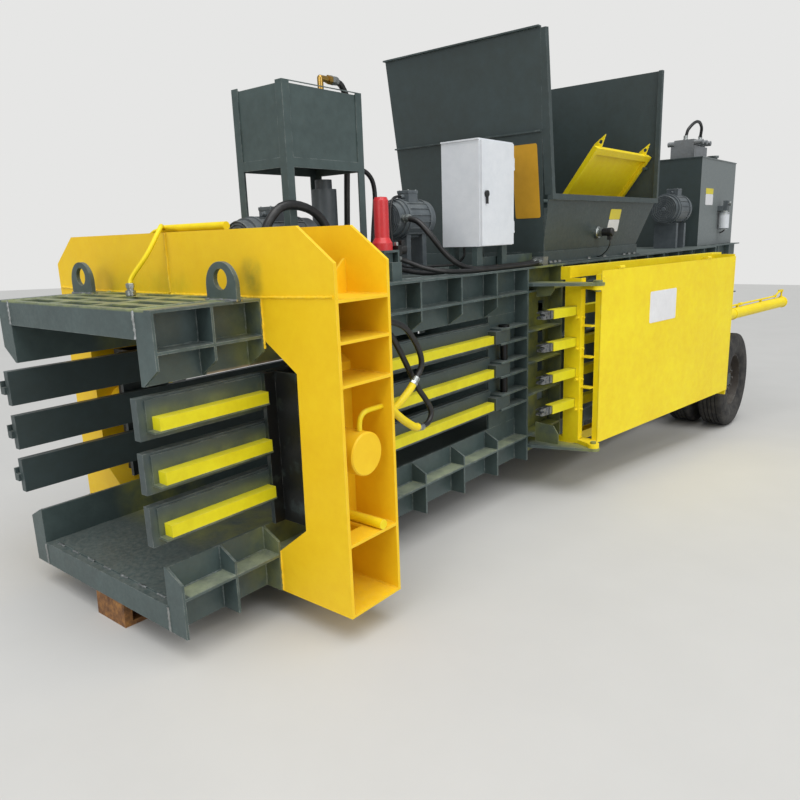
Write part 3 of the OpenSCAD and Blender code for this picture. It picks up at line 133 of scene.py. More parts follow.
def blend(tree, share, under, over):
    """Two colours mixed by the share of the second, each as sRGB hex or as another node's output."""
    under, over = (linear(c) if isinstance(c, str) else c for c in (under, over))
    return add(tree, "ShaderNodeMix", {0: share, 6: under, 7: over}, data_type="RGBA").outputs[2]


def bumps(tree, height, strength, distance, **under):
    """The normals of a surface raised by a height, over another bump where one is given."""
    return add(tree, "ShaderNodeBump", {"Strength": strength, "Distance": distance, "Height": height,
                                        **under}).outputs[0]


def dress(tree, shader, colour, roughness, normal):
    """Give a shader its colour and normals from other nodes, and its roughness as a value or from one."""
    tree.links.new(colour, shader.inputs["Base Color"])
    tree.links.new(normal, shader.inputs["Normal"])
    if isinstance(roughness, float):
        shader.inputs["Roughness"].default_value = roughness
    else:
        tree.links.new(roughness, shader.inputs["Roughness"])


def drift_and_shade_tint(tree, paint, place, haze):
    """A tint in blots that thin out over the reach round a box: paint that drifted over from a neighbour, and
    also painted shade.

    haze is the tint, its strength, the box's middle and half size, and the reach outside the box.
    """
    tint, strength, middle, half, reach = haze
    off = vector(tree, "ABSOLUTE", vector(tree, "SUBTRACT", place, middle))
    off = vector(tree, "MAXIMUM", vector(tree, "SUBTRACT", off, half), (0.0, 0.0, 0.0))
    gap = vector(tree, "LENGTH", off, output="Value")
    near = spread(tree, gap, reach, 0.0, interpolation_type="SMOOTHSTEP")
    # drift, and the painted shade too, comes in soft blots of about 150 mm with a fine spray edge of 4 mm
    blot = spread(tree, noise(tree, place, 6.5, 8.0, 0.62), 0.3, 0.72)
    drift = calc(tree, "MULTIPLY", near, blot)
    return blend(tree, calc(tree, "MULTIPLY", drift, strength, use_clamp=True), paint, tint)


def painted_plate(name, colour, dark, wear=0.5, wear_colour="#a9aeaa", roughness=0.42, hazes=(), dust=0.25,
                  side=None, shine=0.5):
    """Alkyd enamel sprayed on hot-rolled plate: slight orange peel, cloudy tone, rubbed pale edges.

    hazes are neighbours' paints that drifted over it, and painted shade; side is another colour for faces that
    look to -Y.
    """
    material, tree, shader, place = new_material(name)
    shader.inputs["Specular IOR Level"].default_value = shine
    # cloudy film thickness over about half a metre, and brush-sized patches of 60 mm
    cloud = noise(tree, place, 2.2, 4.0, 0.6)
    patch = noise(tree, place, 16.0, 5.0, 0.65)
    paint = blend(tree, spread(tree, calc(tree, "ADD", cloud, patch), 0.75, 1.3), dark, colour)
    facing = add(tree, "ShaderNodeSeparateXYZ", {0: add(tree, "ShaderNodeTexCoord").outputs["Normal"]}).outputs
    if side:
        paint = blend(tree, calc(tree, "LESS_THAN", facing[1], -0.7), paint, side)
    # workshop dust settles on faces that look up
    spots = noise(tree, place, 45.0, 6.0, 0.7)
    settle = calc(tree, "MULTIPLY", spread(tree, facing[2], 0.4, 1.0, 0.0, dust),
                  spread(tree, spots, 0.35, 0.7))
    paint = blend(tree, settle, paint, "#b5b2a8")
    for haze in hazes:
        paint = drift_and_shade_tint(tree, paint, place, haze)
    # edges are rubbed through: the rounded normal of a 5 mm bevel differs from the true one there
    soft = add(tree, "ShaderNodeBevel", {"Radius": 0.005}, samples=4).outputs[0]
    true = add(tree, "ShaderNodeNewGeometry").outputs["True Normal"]
    edge = spread(tree, vector(tree, "DOT_PRODUCT", soft, true, output="Value"), 0.985, 0.90)
    rubbed = calc(tree, "MULTIPLY", edge, spread(tree, patch, 0.42, 0.62, 0.0, wear))
    paint = blend(tree, rubbed, paint, wear_colour)
    gloss = spread(tree, spots, 0.3, 0.7, roughness - 0.06, roughness + 0.12)
    # orange peel of about 4 mm, drawn a little coarse so that it shows
    peel = bumps(tree, noise(tree, place, 220.0, 2.0), 0.12, 0.002)
    # plates between welds are a little wavy, over about 300 mm
    wave = bumps(tree, noise(tree, place, 3.3, 1.0), 0.25, 0.02, Normal=peel)
    dress(tree, shader, paint, gloss, wave)
    return material


def bare_metal(name, colour, dark, roughness, grain_scale=120.0, stain="#5a4a3a", stained=0.3):
    """Metal that was turned, ground or cast and left bare, with a fine tool pattern and some oil stain."""
    material, tree, shader, place = new_material(name)
    shader.inputs["Metallic"].default_value = 1.0
    grain = noise(tree, place, grain_scale, 4.0)
    cloud = noise(tree, place, 9.0, 5.0, 0.65)
    tone = blend(tree, spread(tree, cloud, 0.52, 0.75, 0.0, stained), blend(tree, grain, dark, colour), stain)
    gloss = spread(tree, cloud, 0.3, 0.7, roughness * 0.8, roughness * 1.3)
    dress(tree, shader, tone, gloss, bumps(tree, grain, 0.1, 0.001))
    return material


def rubber(name, colour, dusty, roughness, dust):
    """Carbon-black rubber, moulded: matt, greyed by dust that lies in soft patches."""
    material, tree, shader, place = new_material(name)
    shader.inputs["IOR"].default_value = 1.52
    mask = spread(tree, noise(tree, place, 14.0, 6.0, 0.7), 0.38, 0.7, 0.0, dust)
    dress(tree, shader, blend(tree, mask, colour, dusty), roughness,
          bumps(tree, noise(tree, place, 160.0, 3.0), 0.2, 0.002))
    return material


def rusty_plate(name):
    """Torch-cut plate with flaking red primer over rust, rough and matt."""
    material, tree, shader, place = new_material(name)
    flake = noise(tree, place, 24.0, 8.0, 0.7)
    ramp = add(tree, "ShaderNodeValToRGB", {0: flake})
    stops = ramp.color_ramp.elements
    stops[0].position, stops[0].color = 0.32, linear("#4c3320")
    stops[1].position, stops[1].color = 0.68, linear("#a6763c")
    stops.new(0.5).color = linear("#7c5532")
    dress(tree, shader, ramp.outputs[0], 0.82, bumps(tree, flake, 0.5, 0.003))
    return material


# Sizes of the plate work that the welds and fasteners follow, in the machine's own axes.
HALF = 0.550
WALL_OUT = 0.566
OUTER = 0.669
FLOOR_BOTTOM = -0.127
LOWER_SHELF = 0.055
LOWER_WALL_TOP = 0.172
SKIRT_BOTTOM = 0.937
UPPER_SHELF = 1.080
CEILING = 1.122
ROOF = 1.239
RIB = 0.012
PORTAL = (0.530, 0.862)
PORTAL_HALF = 1.110
PORTAL_TOP = 1.531
CROWN_SEAM = 1.254
PORTAL_SHELVES = (1.241, 1.075, 0.897, 0.205, -0.120)
MIDDLE_SHELF_FOOT = 0.862
LUG_FACES = (0.388, 0.412)
LUG_FOOT = (0.482, 0.688)
HOPPER_FOOT = 3.17
LINER_TOP = -0.006
END_PLATE = 2.852
BODY_END = 7.250
BAR_LEVELS = (0.354, 0.576, 0.798)
PUMP_X = 6.560
FILTER_X = 8.060
RIBS = (0.0, 0.268, 0.518, 1.252, 1.652, 2.052, 2.452)
FIRST_WALL_RIB = 3.370
WALL_RIBS = tuple(FIRST_WALL_RIB + i * (BODY_END - 0.008 - FIRST_WALL_RIB) / 9 for i in range(10))
# The motors: fan end, middle of the axis across and up, length and radius of the body.
MOTORS = ((1.010, 0.0, ROOF + 0.230, 0.440, 0.128), (2.010, -0.190, ROOF + 0.340, 0.300, 0.115),
          (PUMP_X, -0.300, ROOF + 0.420, 0.420, 0.160))
# The photograph's camera, as fitted to the machine's edges: focal length in mm, place, and right, up, back.
CAMERA_LENS = 31.6115
CAMERA_AT = (-1.60381, -3.0355, 1.67415)
CAMERA_AXES = ((0.628808, -0.777487, -0.010682), (0.162349, 0.117843, 0.979671),
               (-0.760423, -0.617759, 0.200325))
# Directions in the machine's own axes.
ALONG, NEAR, UP = Vector((1, 0, 0)), Vector((0, -1, 0)), Vector((0, 0, 1))
# Radii of the hydraulic hoses.
THIN, MEDIUM, THICK = 0.014, 0.018, 0.024


def mesh_piece(name, mesh, material, body="frame"):
    """Make a finished mesh an object that rides on a body and takes the given finish."""
    piece = bpy.data.objects.new(name, mesh)
    bpy.context.collection.objects.link(piece)
    mesh.materials.clear()
    mesh.materials.append(bpy.data.materials[material])
    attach(piece, body)
    return piece


def lines_mesh(name, lines):
    """A mesh of edges only: one open chain for each list of points."""
    points = [point for line in lines for point in line]
    edges = []
    start = 0
    for line in lines:
        edges += [(start + i, start + i + 1) for i in range(len(line) - 1)]
        start += len(line)
    mesh = bpy.data.meshes.new(name)
    mesh.from_pydata([tuple(p) for p in points], edges, [])
    return mesh


def points_mesh(name, places):
    """A mesh of loose points, each with the axis it faces along and its size: (point, axis, size)."""
    mesh = bpy.data.meshes.new(name)
    mesh.from_pydata([tuple(point) for point, axis, size in places], [], [])
    facing = mesh.attributes.new("facing", "FLOAT_VECTOR", "POINT")
    facing.data.foreach_set("vector", [c for point, axis, size in places for c in axis])
    sizes = mesh.attributes.new("size", "FLOAT", "POINT")
    sizes.data.foreach_set("value", [size for point, axis, size in places])
    return mesh


def new_tree(name, **inputs):
    """An empty geometry tree with its inputs and their kinds; returns it with its input and output nodes."""
    tree = bpy.data.node_groups.new(name, "GeometryNodeTree")
    tree.interface.new_socket("Geometry", in_out="INPUT", socket_type="NodeSocketGeometry")
    for label, kind in {**inputs, "Material": "Material"}.items():
        tree.interface.new_socket(label, in_out="INPUT", socket_type="NodeSocket" + kind)
    tree.interface.new_socket("Geometry", in_out="OUTPUT", socket_type="NodeSocketGeometry")
    return tree, add(tree, "NodeGroupInput"), add(tree, "NodeGroupOutput")


def close_tree(tree, geometry, given, out):
    """End a tree in realized instances and the given material."""
    real = add(tree, "GeometryNodeRealizeInstances", {"Geometry": geometry}).outputs[0]
    real = add(tree, "GeometryNodeSetMaterial", {"Geometry": real, "Material": given.outputs["Material"]})
    tree.links.new(real.outputs[0], out.inputs["Geometry"])


def grow(mesh, tree, values, name, material, slot):
    """Run a geometry tree on a mesh and keep the result as a plain mesh piece."""
    seed = bpy.data.objects.new(name + "_seed", mesh)
    bpy.context.collection.objects.link(seed)
    modifier = seed.modifiers.new("grow", "NODES")
    modifier.node_group = tree
    identifiers = {item.name: item.identifier for item in tree.interface.items_tree if item.in_out == "INPUT"}
    for label, value in {**values, "Material": bpy.data.materials[material]}.items():
        modifier[identifiers[label]] = value
    seed.update_tag()
    result = bpy.data.meshes.new_from_object(seed.evaluated_get(bpy.context.evaluated_depsgraph_get()))
    bpy.data.objects.remove(seed)
    result.name = name
    return mesh_piece(name, result, material)


def bead_tree():
    """Weld bead: a round rope along each line, lumpy at the ripple pitch."""
    tree, given, out = new_tree("weld bead", Width="Float", Ripple="Float", Seed="Int")
    seed = given.outputs["Seed"]
    curve = add(tree, "GeometryNodeMeshToCurve", {"Mesh": given.outputs["Geometry"]}).outputs[0]
    curve = add(tree, "GeometryNodeResampleCurve", {"Curve": curve, "Length": given.outputs["Ripple"]},
                mode="LENGTH")
    lump = add(tree, "FunctionNodeRandomValue", {2: 0.62, 3: 1.15, "Seed": seed}, data_type="FLOAT")
    drift = add(tree, "FunctionNodeRandomValue", {0: (-1.0, -1.0, -1.0), 1: (1.0, 1.0, 1.0), "Seed": seed},
                data_type="FLOAT_VECTOR")
    sway = calc(tree, "MULTIPLY", given.outputs["Width"], 0.09)
    sway = add(tree, "ShaderNodeVectorMath", {0: drift.outputs[0], "Scale": sway}, operation="SCALE")
    curve = add(tree, "GeometryNodeSetPosition", {"Geometry": curve.outputs[0], "Offset": sway.outputs[0]})
    half = calc(tree, "MULTIPLY", given.outputs["Width"], 0.5)
    profile = add(tree, "GeometryNodeCurvePrimitiveCircle", {"Resolution": 6, "Radius": half})
    bead = add(tree, "GeometryNodeCurveToMesh", {"Curve": curve.outputs[0], "Profile Curve": profile.outputs[0],
                                                 "Scale": lump.outputs[1], "Fill Caps": True})
    close_tree(tree, bead.outputs[0], given, out)
    return tree


def stack(tree, forms):
    """Join round forms on one axis: the kind of each, the height of its middle and its sizes."""
    whole = add(tree, "GeometryNodeJoinGeometry")
    for kind, height, sizes in forms:
        form = add(tree, "GeometryNodeMesh" + kind, sizes).outputs[0]
        form = add(tree, "GeometryNodeTransform", {"Geometry": form, "Translation": (0, 0, height)}).outputs[0]
        tree.links.new(form, whole.inputs[0])
    return whole.outputs[0]


def on_points(tree, given, out, form, factor, lengthwise=False):
    """Put a form on each point along its axis and at its size; a factor stretches it, or its length alone."""
    facing, size = (add(tree, "GeometryNodeInputNamedAttribute", {"Name": name}, data_type=kind).outputs[0]
                    for name, kind in (("facing", "FLOAT_VECTOR"), ("size", "FLOAT")))
    scale = calc(tree, "MULTIPLY", size, given.outputs[factor])
    if lengthwise:
        scale = add(tree, "ShaderNodeCombineXYZ", {0: size, 1: size, 2: scale}).outputs[0]
    turn = add(tree, "FunctionNodeAlignRotationToVector", {"Vector": facing}, axis="Z").outputs[0]
    points = add(tree, "GeometryNodeInstanceOnPoints", {"Points": given.outputs["Geometry"], "Instance": form,
                                                        "Rotation": turn, "Scale": scale})
    close_tree(tree, points.outputs[0], given, out)


def bolt_tree():
    """Hexagon head on a washer, turned to face along each point's axis; size is the thread."""
    tree, given, out = new_tree("hexagon bolt", Head="Float")
    form = stack(tree, (("Cylinder", 0.1, {"Vertices": 20, "Radius": 1.05, "Depth": 0.2}),
                        ("Cylinder", 0.5, {"Vertices": 6, "Radius": 0.95, "Depth": 0.6}),
                        ("Cone", 0.8, {"Vertices": 12, "Radius Top": 0.66, "Radius Bottom": 0.86,
                                       "Depth": 0.08})))
    on_points(tree, given, out, form, "Head")
    return tree


def ferrule_tree():
    """Crimped hose ferrule with its swivel nut, along each point's axis; size is the hose radius."""
    tree, given, out = new_tree("hose ferrule", Length="Float")
    form = stack(tree, [("Cylinder", height, {"Vertices": sides, "Radius": radius, "Depth": depth})
                        for radius, depth, height, sides in (
                            (1.45, 0.9, 0.45, 6), (1.15, 0.5, 1.1, 16), (1.32, 0.28, 1.5, 16),
                            (1.18, 0.12, 1.7, 16), (1.32, 0.28, 1.9, 16), (1.18, 0.12, 2.1, 16),
                            (1.32, 0.28, 2.3, 16), (1.2, 0.4, 2.6, 16))])
    on_points(tree, given, out, form, "Length", lengthwise=True)
    return tree


def rounded_plate(name, corners, thickness, border, body, slot, face, edge):
    """A thin screwed plate with rounded corners between four corners, and a painted line round its edge."""
    origin, right, down = corners[0], corners[1] - corners[0], corners[3] - corners[0]
    normal = right.cross(down).normalized()
    side, fall = right.normalized(), down.normalized()
    width, height = right.length, down.length
    mesh = bmesh.new()

    def ring(inset, lift):
        radius = max(0.006, 0.014 - inset)
        near, far = inset + radius, (width - inset - radius, height - inset - radius)
        points = []
        for index, (x, y) in enumerate((far, (near, far[1]), (near, near), (far[0], near))):
            for step in range(5):
                angle = math.radians(90 * index + 22.5 * step)
                at = origin + side * (x + radius * math.cos(angle)) + fall * (y + radius * math.sin(angle))
                points.append(mesh.verts.new(at - normal * lift))
        return points

    rings = [ring(0.0, -0.0003), ring(0.0, thickness * 0.7), ring(0.0012, thickness), ring(border, thickness),
             ring(border + 0.004, thickness + 0.0002)]
    for low, high in zip(rings, rings[1:]):
        for i in range(len(low)):
            k = (i + 1) % len(low)
            patch = mesh.faces.new((low[i], low[k], high[k], high[i]))
            patch.material_index = 1 if high is rings[4] else 0
    mesh.faces.new(rings[-1])
    mesh.faces.new(list(reversed(rings[0])))
    bmesh.ops.recalc_face_normals(mesh, faces=mesh.faces)
    piece = bmesh_piece(name, mesh, face, body)
    piece.data.materials.append(bpy.data.materials[edge])


def join(mesh, part):
    """Put a finished small form, drawn in the machine's own axes, into a bmesh."""
    for vert in part.verts:
        vert.co = machine(*vert.co)
    bmesh.ops.recalc_face_normals(part, faces=part.faces)
    data = bpy.data.meshes.new("part")
    part.to_mesh(data)
    part.free()
    mesh.from_mesh(data)
    bpy.data.meshes.remove(data)


def block(mesh, low, high, edge=0.003):
    """Add a box between two corners, its edges rounded, to a bmesh."""
    part = bmesh.new()
    bmesh.ops.create_cube(part, size=1.0)
    for vert in part.verts:
        vert.co = Vector([low[i] + (vert.co[i] + 0.5) * (high[i] - low[i]) for i in range(3)])
    bmesh.ops.bevel(part, geom=part.edges[:], offset=edge, segments=2, profile=0.7, affect="EDGES")
    join(mesh, part)


def circle(part, centre, axis, side, radius, sides):
    """New points of a form round an axis, from a direction square to it."""
    other = axis.cross(side)
    turns = [2 * math.pi * k / sides for k in range(sides)]
    return [part.verts.new(centre + radius * (math.cos(a) * side + math.sin(a) * other)) for a in turns]


def skin(part, rings, smooth=False):
    """Faces from each ring of points to the next."""
    for low, high in zip(rings, rings[1:]):
        for k in range(len(low)):
            n = (k + 1) % len(low)
            part.faces.new((low[k], low[n], high[n], high[k])).smooth = smooth


def turned(mesh, base, axis, profile, sides=20, hollow=False):
    """Add a form turned about an axis: (radius, height) pairs from base to top, or round a hollow ring."""
    part = bmesh.new()
    base, axis = Vector(base), Vector(axis)
    side = axis.orthogonal().normalized()
    rings = [circle(part, base + axis * height, axis, side, radius, sides) for radius, height in profile]
    skin(part, rings + rings[:1] if hollow else rings)
    if not hollow:
        part.faces.new(rings[0])
        part.faces.new(rings[-1])
    join(mesh, part)


def smooth_path(points, steps=6):
    """Points along a curve that runs through the given points."""
    points = [Vector(p) for p in points]
    ends = [2 * points[0] - points[1]] + points + [2 * points[-1] - points[-2]]
    path = []
    for a, b, c, d in zip(ends, ends[1:], ends[2:], ends[3:]):
        for i in range(steps):
            t = i / steps
            path.append(0.5 * (2 * b + (c - a) * t + (2 * a - 5 * b + 4 * c - d) * t * t
                               + (3 * b - a - 3 * c + d) * t ** 3))
    return path + [points[-1]]


def cable(mesh, points, radius, sides=10):
    """Add a round cable that runs through the given points to a bmesh."""
    part = bmesh.new()
    path = smooth_path(points)
    side = None
    rings = []
    for i, point in enumerate(path):
        way = (path[min(i + 1, len(path) - 1)] - path[max(i - 1, 0)]).normalized()
        side = way.orthogonal().normalized() if side is None else (side - way * side.dot(way)).normalized()
        rings.append(circle(part, point, way, side, radius, sides))
    skin(part, rings, smooth=True)
    part.faces.new(rings[0])
    part.faces.new(rings[-1])
    join(mesh, part)


def bmesh_piece(name, mesh, material, body="frame"):
    """Turn a bmesh into a piece."""
    data = bpy.data.meshes.new(name)
    mesh.to_mesh(data)
    mesh.free()
    return mesh_piece(name, data, material, body)


class BalerPaint(bpy.types.PropertyGroup):
    """Paint colours, as sRGB hex."""
    steel_green: StringProperty(name="Frame green", description="Enamel of the frame plates", default="#4b5a59")
    steel_green_dark: StringProperty(name="Frame green, thin", description="Where the film is thin",
                                     default="#3f4c4b")
    hopper_green: StringProperty(name="Hopper green", description="Darker enamel of hopper and clamps",
                                 default="#3c494a")
    portal_yellow: StringProperty(name="Portal yellow", description="Golden enamel of the portal",
                                  default="#f6cd20")
    cover_yellow: StringProperty(name="Cover yellow", description="Bright enamel of the needle cover",
                                 default="#f4de1a")
    bar_yellow: StringProperty(name="Bar yellow", description="Lemon enamel of the clamp bars",
                               default="#dfd61e")
    tank_green: StringProperty(name="Tank green", description="Enamel of the oil tank", default="#3b4748")
    tank_grey: StringProperty(name="Tank side grey", description="Enamel of the oil tank's near side",
                              default="#737a7a")
    red: StringProperty(name="Pressure vessel red", description="Gloss enamel of the pressure vessel",
                        default="#cf3438")
    cabinet: StringProperty(name="Cabinet grey", description="Powder coat of the cabinet", default="#e0e3e7")


class BalerWelds(bpy.types.PropertyGroup):
    """Weld beads."""
    width: FloatProperty(name="Bead width", description="Width of the hand-laid fillets", default=0.011,
                         unit="LENGTH")
    ripple: FloatProperty(name="Ripple pitch", description="Distance between ripples near the exit",
                          default=0.009, unit="LENGTH")
    seed: IntProperty(name="Seed", description="Fixes the lumps of the beads", default=7)


class BalerFasteners(bpy.types.PropertyGroup):
    """Bolts and hose ends."""
    head: FloatProperty(name="Head size", description="Size of a bolt head over its usual one", default=1.0)
    ferrule: FloatProperty(name="Ferrule length", description="Length of a hose ferrule over its usual one",
                           default=1.0)


class BalerStage(bpy.types.PropertyGroup):
    """Floor, lamps and backdrop."""
    floor_colour: StringProperty(name="Floor", description="Plain floor paint", default="#bdbcb9")
    backdrop: StringProperty(name="Backdrop", description="What the camera sees behind the floor",
                             default="#e6e6e5")
    floor_size: FloatProperty(name="Floor size", description="Side of the floor", default=80.0, unit="LENGTH")
    roof_light: FloatProperty(name="Roof light", description="Strength of the light from the roof", default=2.3)
    side_power: FloatProperty(name="Side light", description="Power of the side lamp", default=240.0,
                              unit="POWER")
    front_power: FloatProperty(name="Front light", description="Power of the lamp before the exit",
                               default=260.0, unit="POWER")
    sky: FloatProperty(name="Sky", description="Strength of the even light", default=0.45)


class BALER_OT_finish_parts(bpy.types.Operator):
    """Give every CAD part the finish of its real material"""
    bl_idname = "baler.finish_parts"
    bl_label = "Finish the Parts"

    def execute(self, context):
        paint = context.scene.baler_paint
        around_portal = ("#b7b53c", 0.5, (0.72, 0.0, 0.675), (0.16, 2.0, 2.0), 0.20)
        on_exit_roof = ("#b0b765", 0.6, (0.27, 0.0, ROOF), (0.27, 0.62, 0.004), 0.008)
        on_lower_shelf = ("#a4ad8d", 0.9, (1.46, -0.62, LOWER_SHELF), (1.42, 0.045, 0.002), 0.006)
        peeled = ("#b39f88", 1.6, (0.50, -0.585, SKIRT_BOTTOM), (0.20, 0.03, 0.001), 0.012)
        around_needles = ("#b3b53a", 0.85, (3.18, -0.85, 0.486), (0.10, 0.22, 0.75), 0.18)
        roof_drift = ("#c0b022", 0.7, (0.53, 0.20, 1.25), (0.1, 0.30, 0.01), 0.13)
        smudge = ("#6f7a33", 0.8, (0.53, -0.62, 1.33), (0.1, 0.02, 0.03), 0.07)
        finishes = {
            "steel_green": painted_plate("enamel, grey-green", paint.steel_green, paint.steel_green_dark,
                                         hazes=(around_portal, around_needles, on_exit_roof, on_lower_shelf,
                                                peeled)),
            "dark_green": painted_plate("enamel, dark green", paint.hopper_green, "#374140", wear=0.35),
            "portal_yellow": painted_plate("enamel, golden yellow", paint.portal_yellow, "#f0c21a", wear=0.2,
                                           wear_colour="#e9dc9a", dust=0.08, shine=0.3,
                                           hazes=(roof_drift, smudge)),
            "guard_yellow": painted_plate("enamel, bright yellow", paint.cover_yellow, "#ecce14", wear=0.25,
                                          wear_colour="#d8d2a8", dust=0.1, shine=0.3),
            "bar_yellow": painted_plate("enamel, lemon yellow", paint.bar_yellow, "#cfc218", wear=0.3,
                                        wear_colour="#cfcaa0", dust=0.1, shine=0.3),
            "bare_steel": bare_metal("machined steel", "#b9bcbd", "#8d9091", 0.35),
            "hard_chrome": bare_metal("hard chrome on ground rod", "#d8dadd", "#c6c9cc", 0.12, stained=0.1),
            "rusty_steel": rusty_plate("rusted plate"),
            "brass": bare_metal("brass fitting", "#c9a45c", "#a17f3e", 0.32),
            "machine_grey": painted_plate("machine enamel, grey", "#5d6468", "#4b5256", wear=0.4),
            "signal_red": painted_plate("gloss enamel, red", paint.red, "#b92a2f", wear=0.2, roughness=0.3,
                                        wear_colour="#d98a86"),
            "cabinet_grey": painted_plate("powder coat, light grey", paint.cabinet, "#d5d9de", wear=0.15,
                                          wear_colour="#f0f0f0", dust=0.1),
            "black_plastic": rubber("moulded nylon, black", "#121212", "#3a3a3a", 0.45, dust=0.25),
            "tank_grey": painted_plate("enamel, tank green with a grey side", paint.tank_green, "#384240",
                                       wear=0.35, side=paint.tank_grey),
            "blackened_steel": bare_metal("oiled black steel", "#3a3b3c", "#1e1f20", 0.42, stained=0.4),
            "tyre": rubber("tyre rubber", "#1b1b1c", "#66625c", 0.85, dust=0.42),
            "rim_grey": painted_plate("wheel enamel, worn", "#4f4b47", "#3a332d", wear=0.6, roughness=0.6),
            "rubber": rubber("hose rubber", "#0c0c0d", "#3b3a38", 0.42, dust=0.35),
        }
        bare_metal("weld metal", "#b4b7b5", "#85898a", 0.45, grain_scale=60.0, stained=0.25)
        bare_metal("zinc-plated steel", "#c2c6c4", "#989d9b", 0.34, stained=0.25)
        for name, colour, dark in (("white", "#e9e9ea", "#dcdcde"), ("pink", "#d98c98", "#d07f8c"),
                                   ("amber", "#dba52a", "#cf9a22"), ("amber edge", "#b98a20", "#ad801c"),
                                   ("lemon", "#e6d62c", "#dbca24")):
            painted_plate("vinyl film, " + name, colour, dark, wear=0.0, roughness=0.35, dust=0.05)
        # painted shade: the clamp columns are painted near-black inside the portal's pockets, and the bars'
        # lemon paint drifted on the green beams
        black = [("#121414", 2.5, (0.70, side * 0.72, 0.52), (0.14, 0.118, 0.5), 0.01) for side in (-1, 1)]
        lemon = [("#8f9855", 0.45, (0.30, -0.62, level), (0.30, 0.03, 0.03), 0.06) for level in BAR_LEVELS]
        column = painted_plate("enamel, dark green with a black column", paint.hopper_green, "#374140",
                               wear=0.35, hazes=lemon + black)
        # the needle tips are worn bright where the wire runs
        tips = bare_metal("oiled tool steel", "#a9acae", "#4c4f52", 0.36, grain_scale=70.0, stain="#26231f",
                          stained=0.7)
        own = {"near_clamp": column, "far_clamp": column, "needle_tips": tips}
        slots = {row["node"]: row["material_slot"] for row in frame["record"]["subparts"]}
        for node, part in frame["nodes"].items():
            material = own.get(node, finishes[slots[node]])
            part.data.materials.clear()
            part.data.materials.append(material)
        return {"FINISHED"}


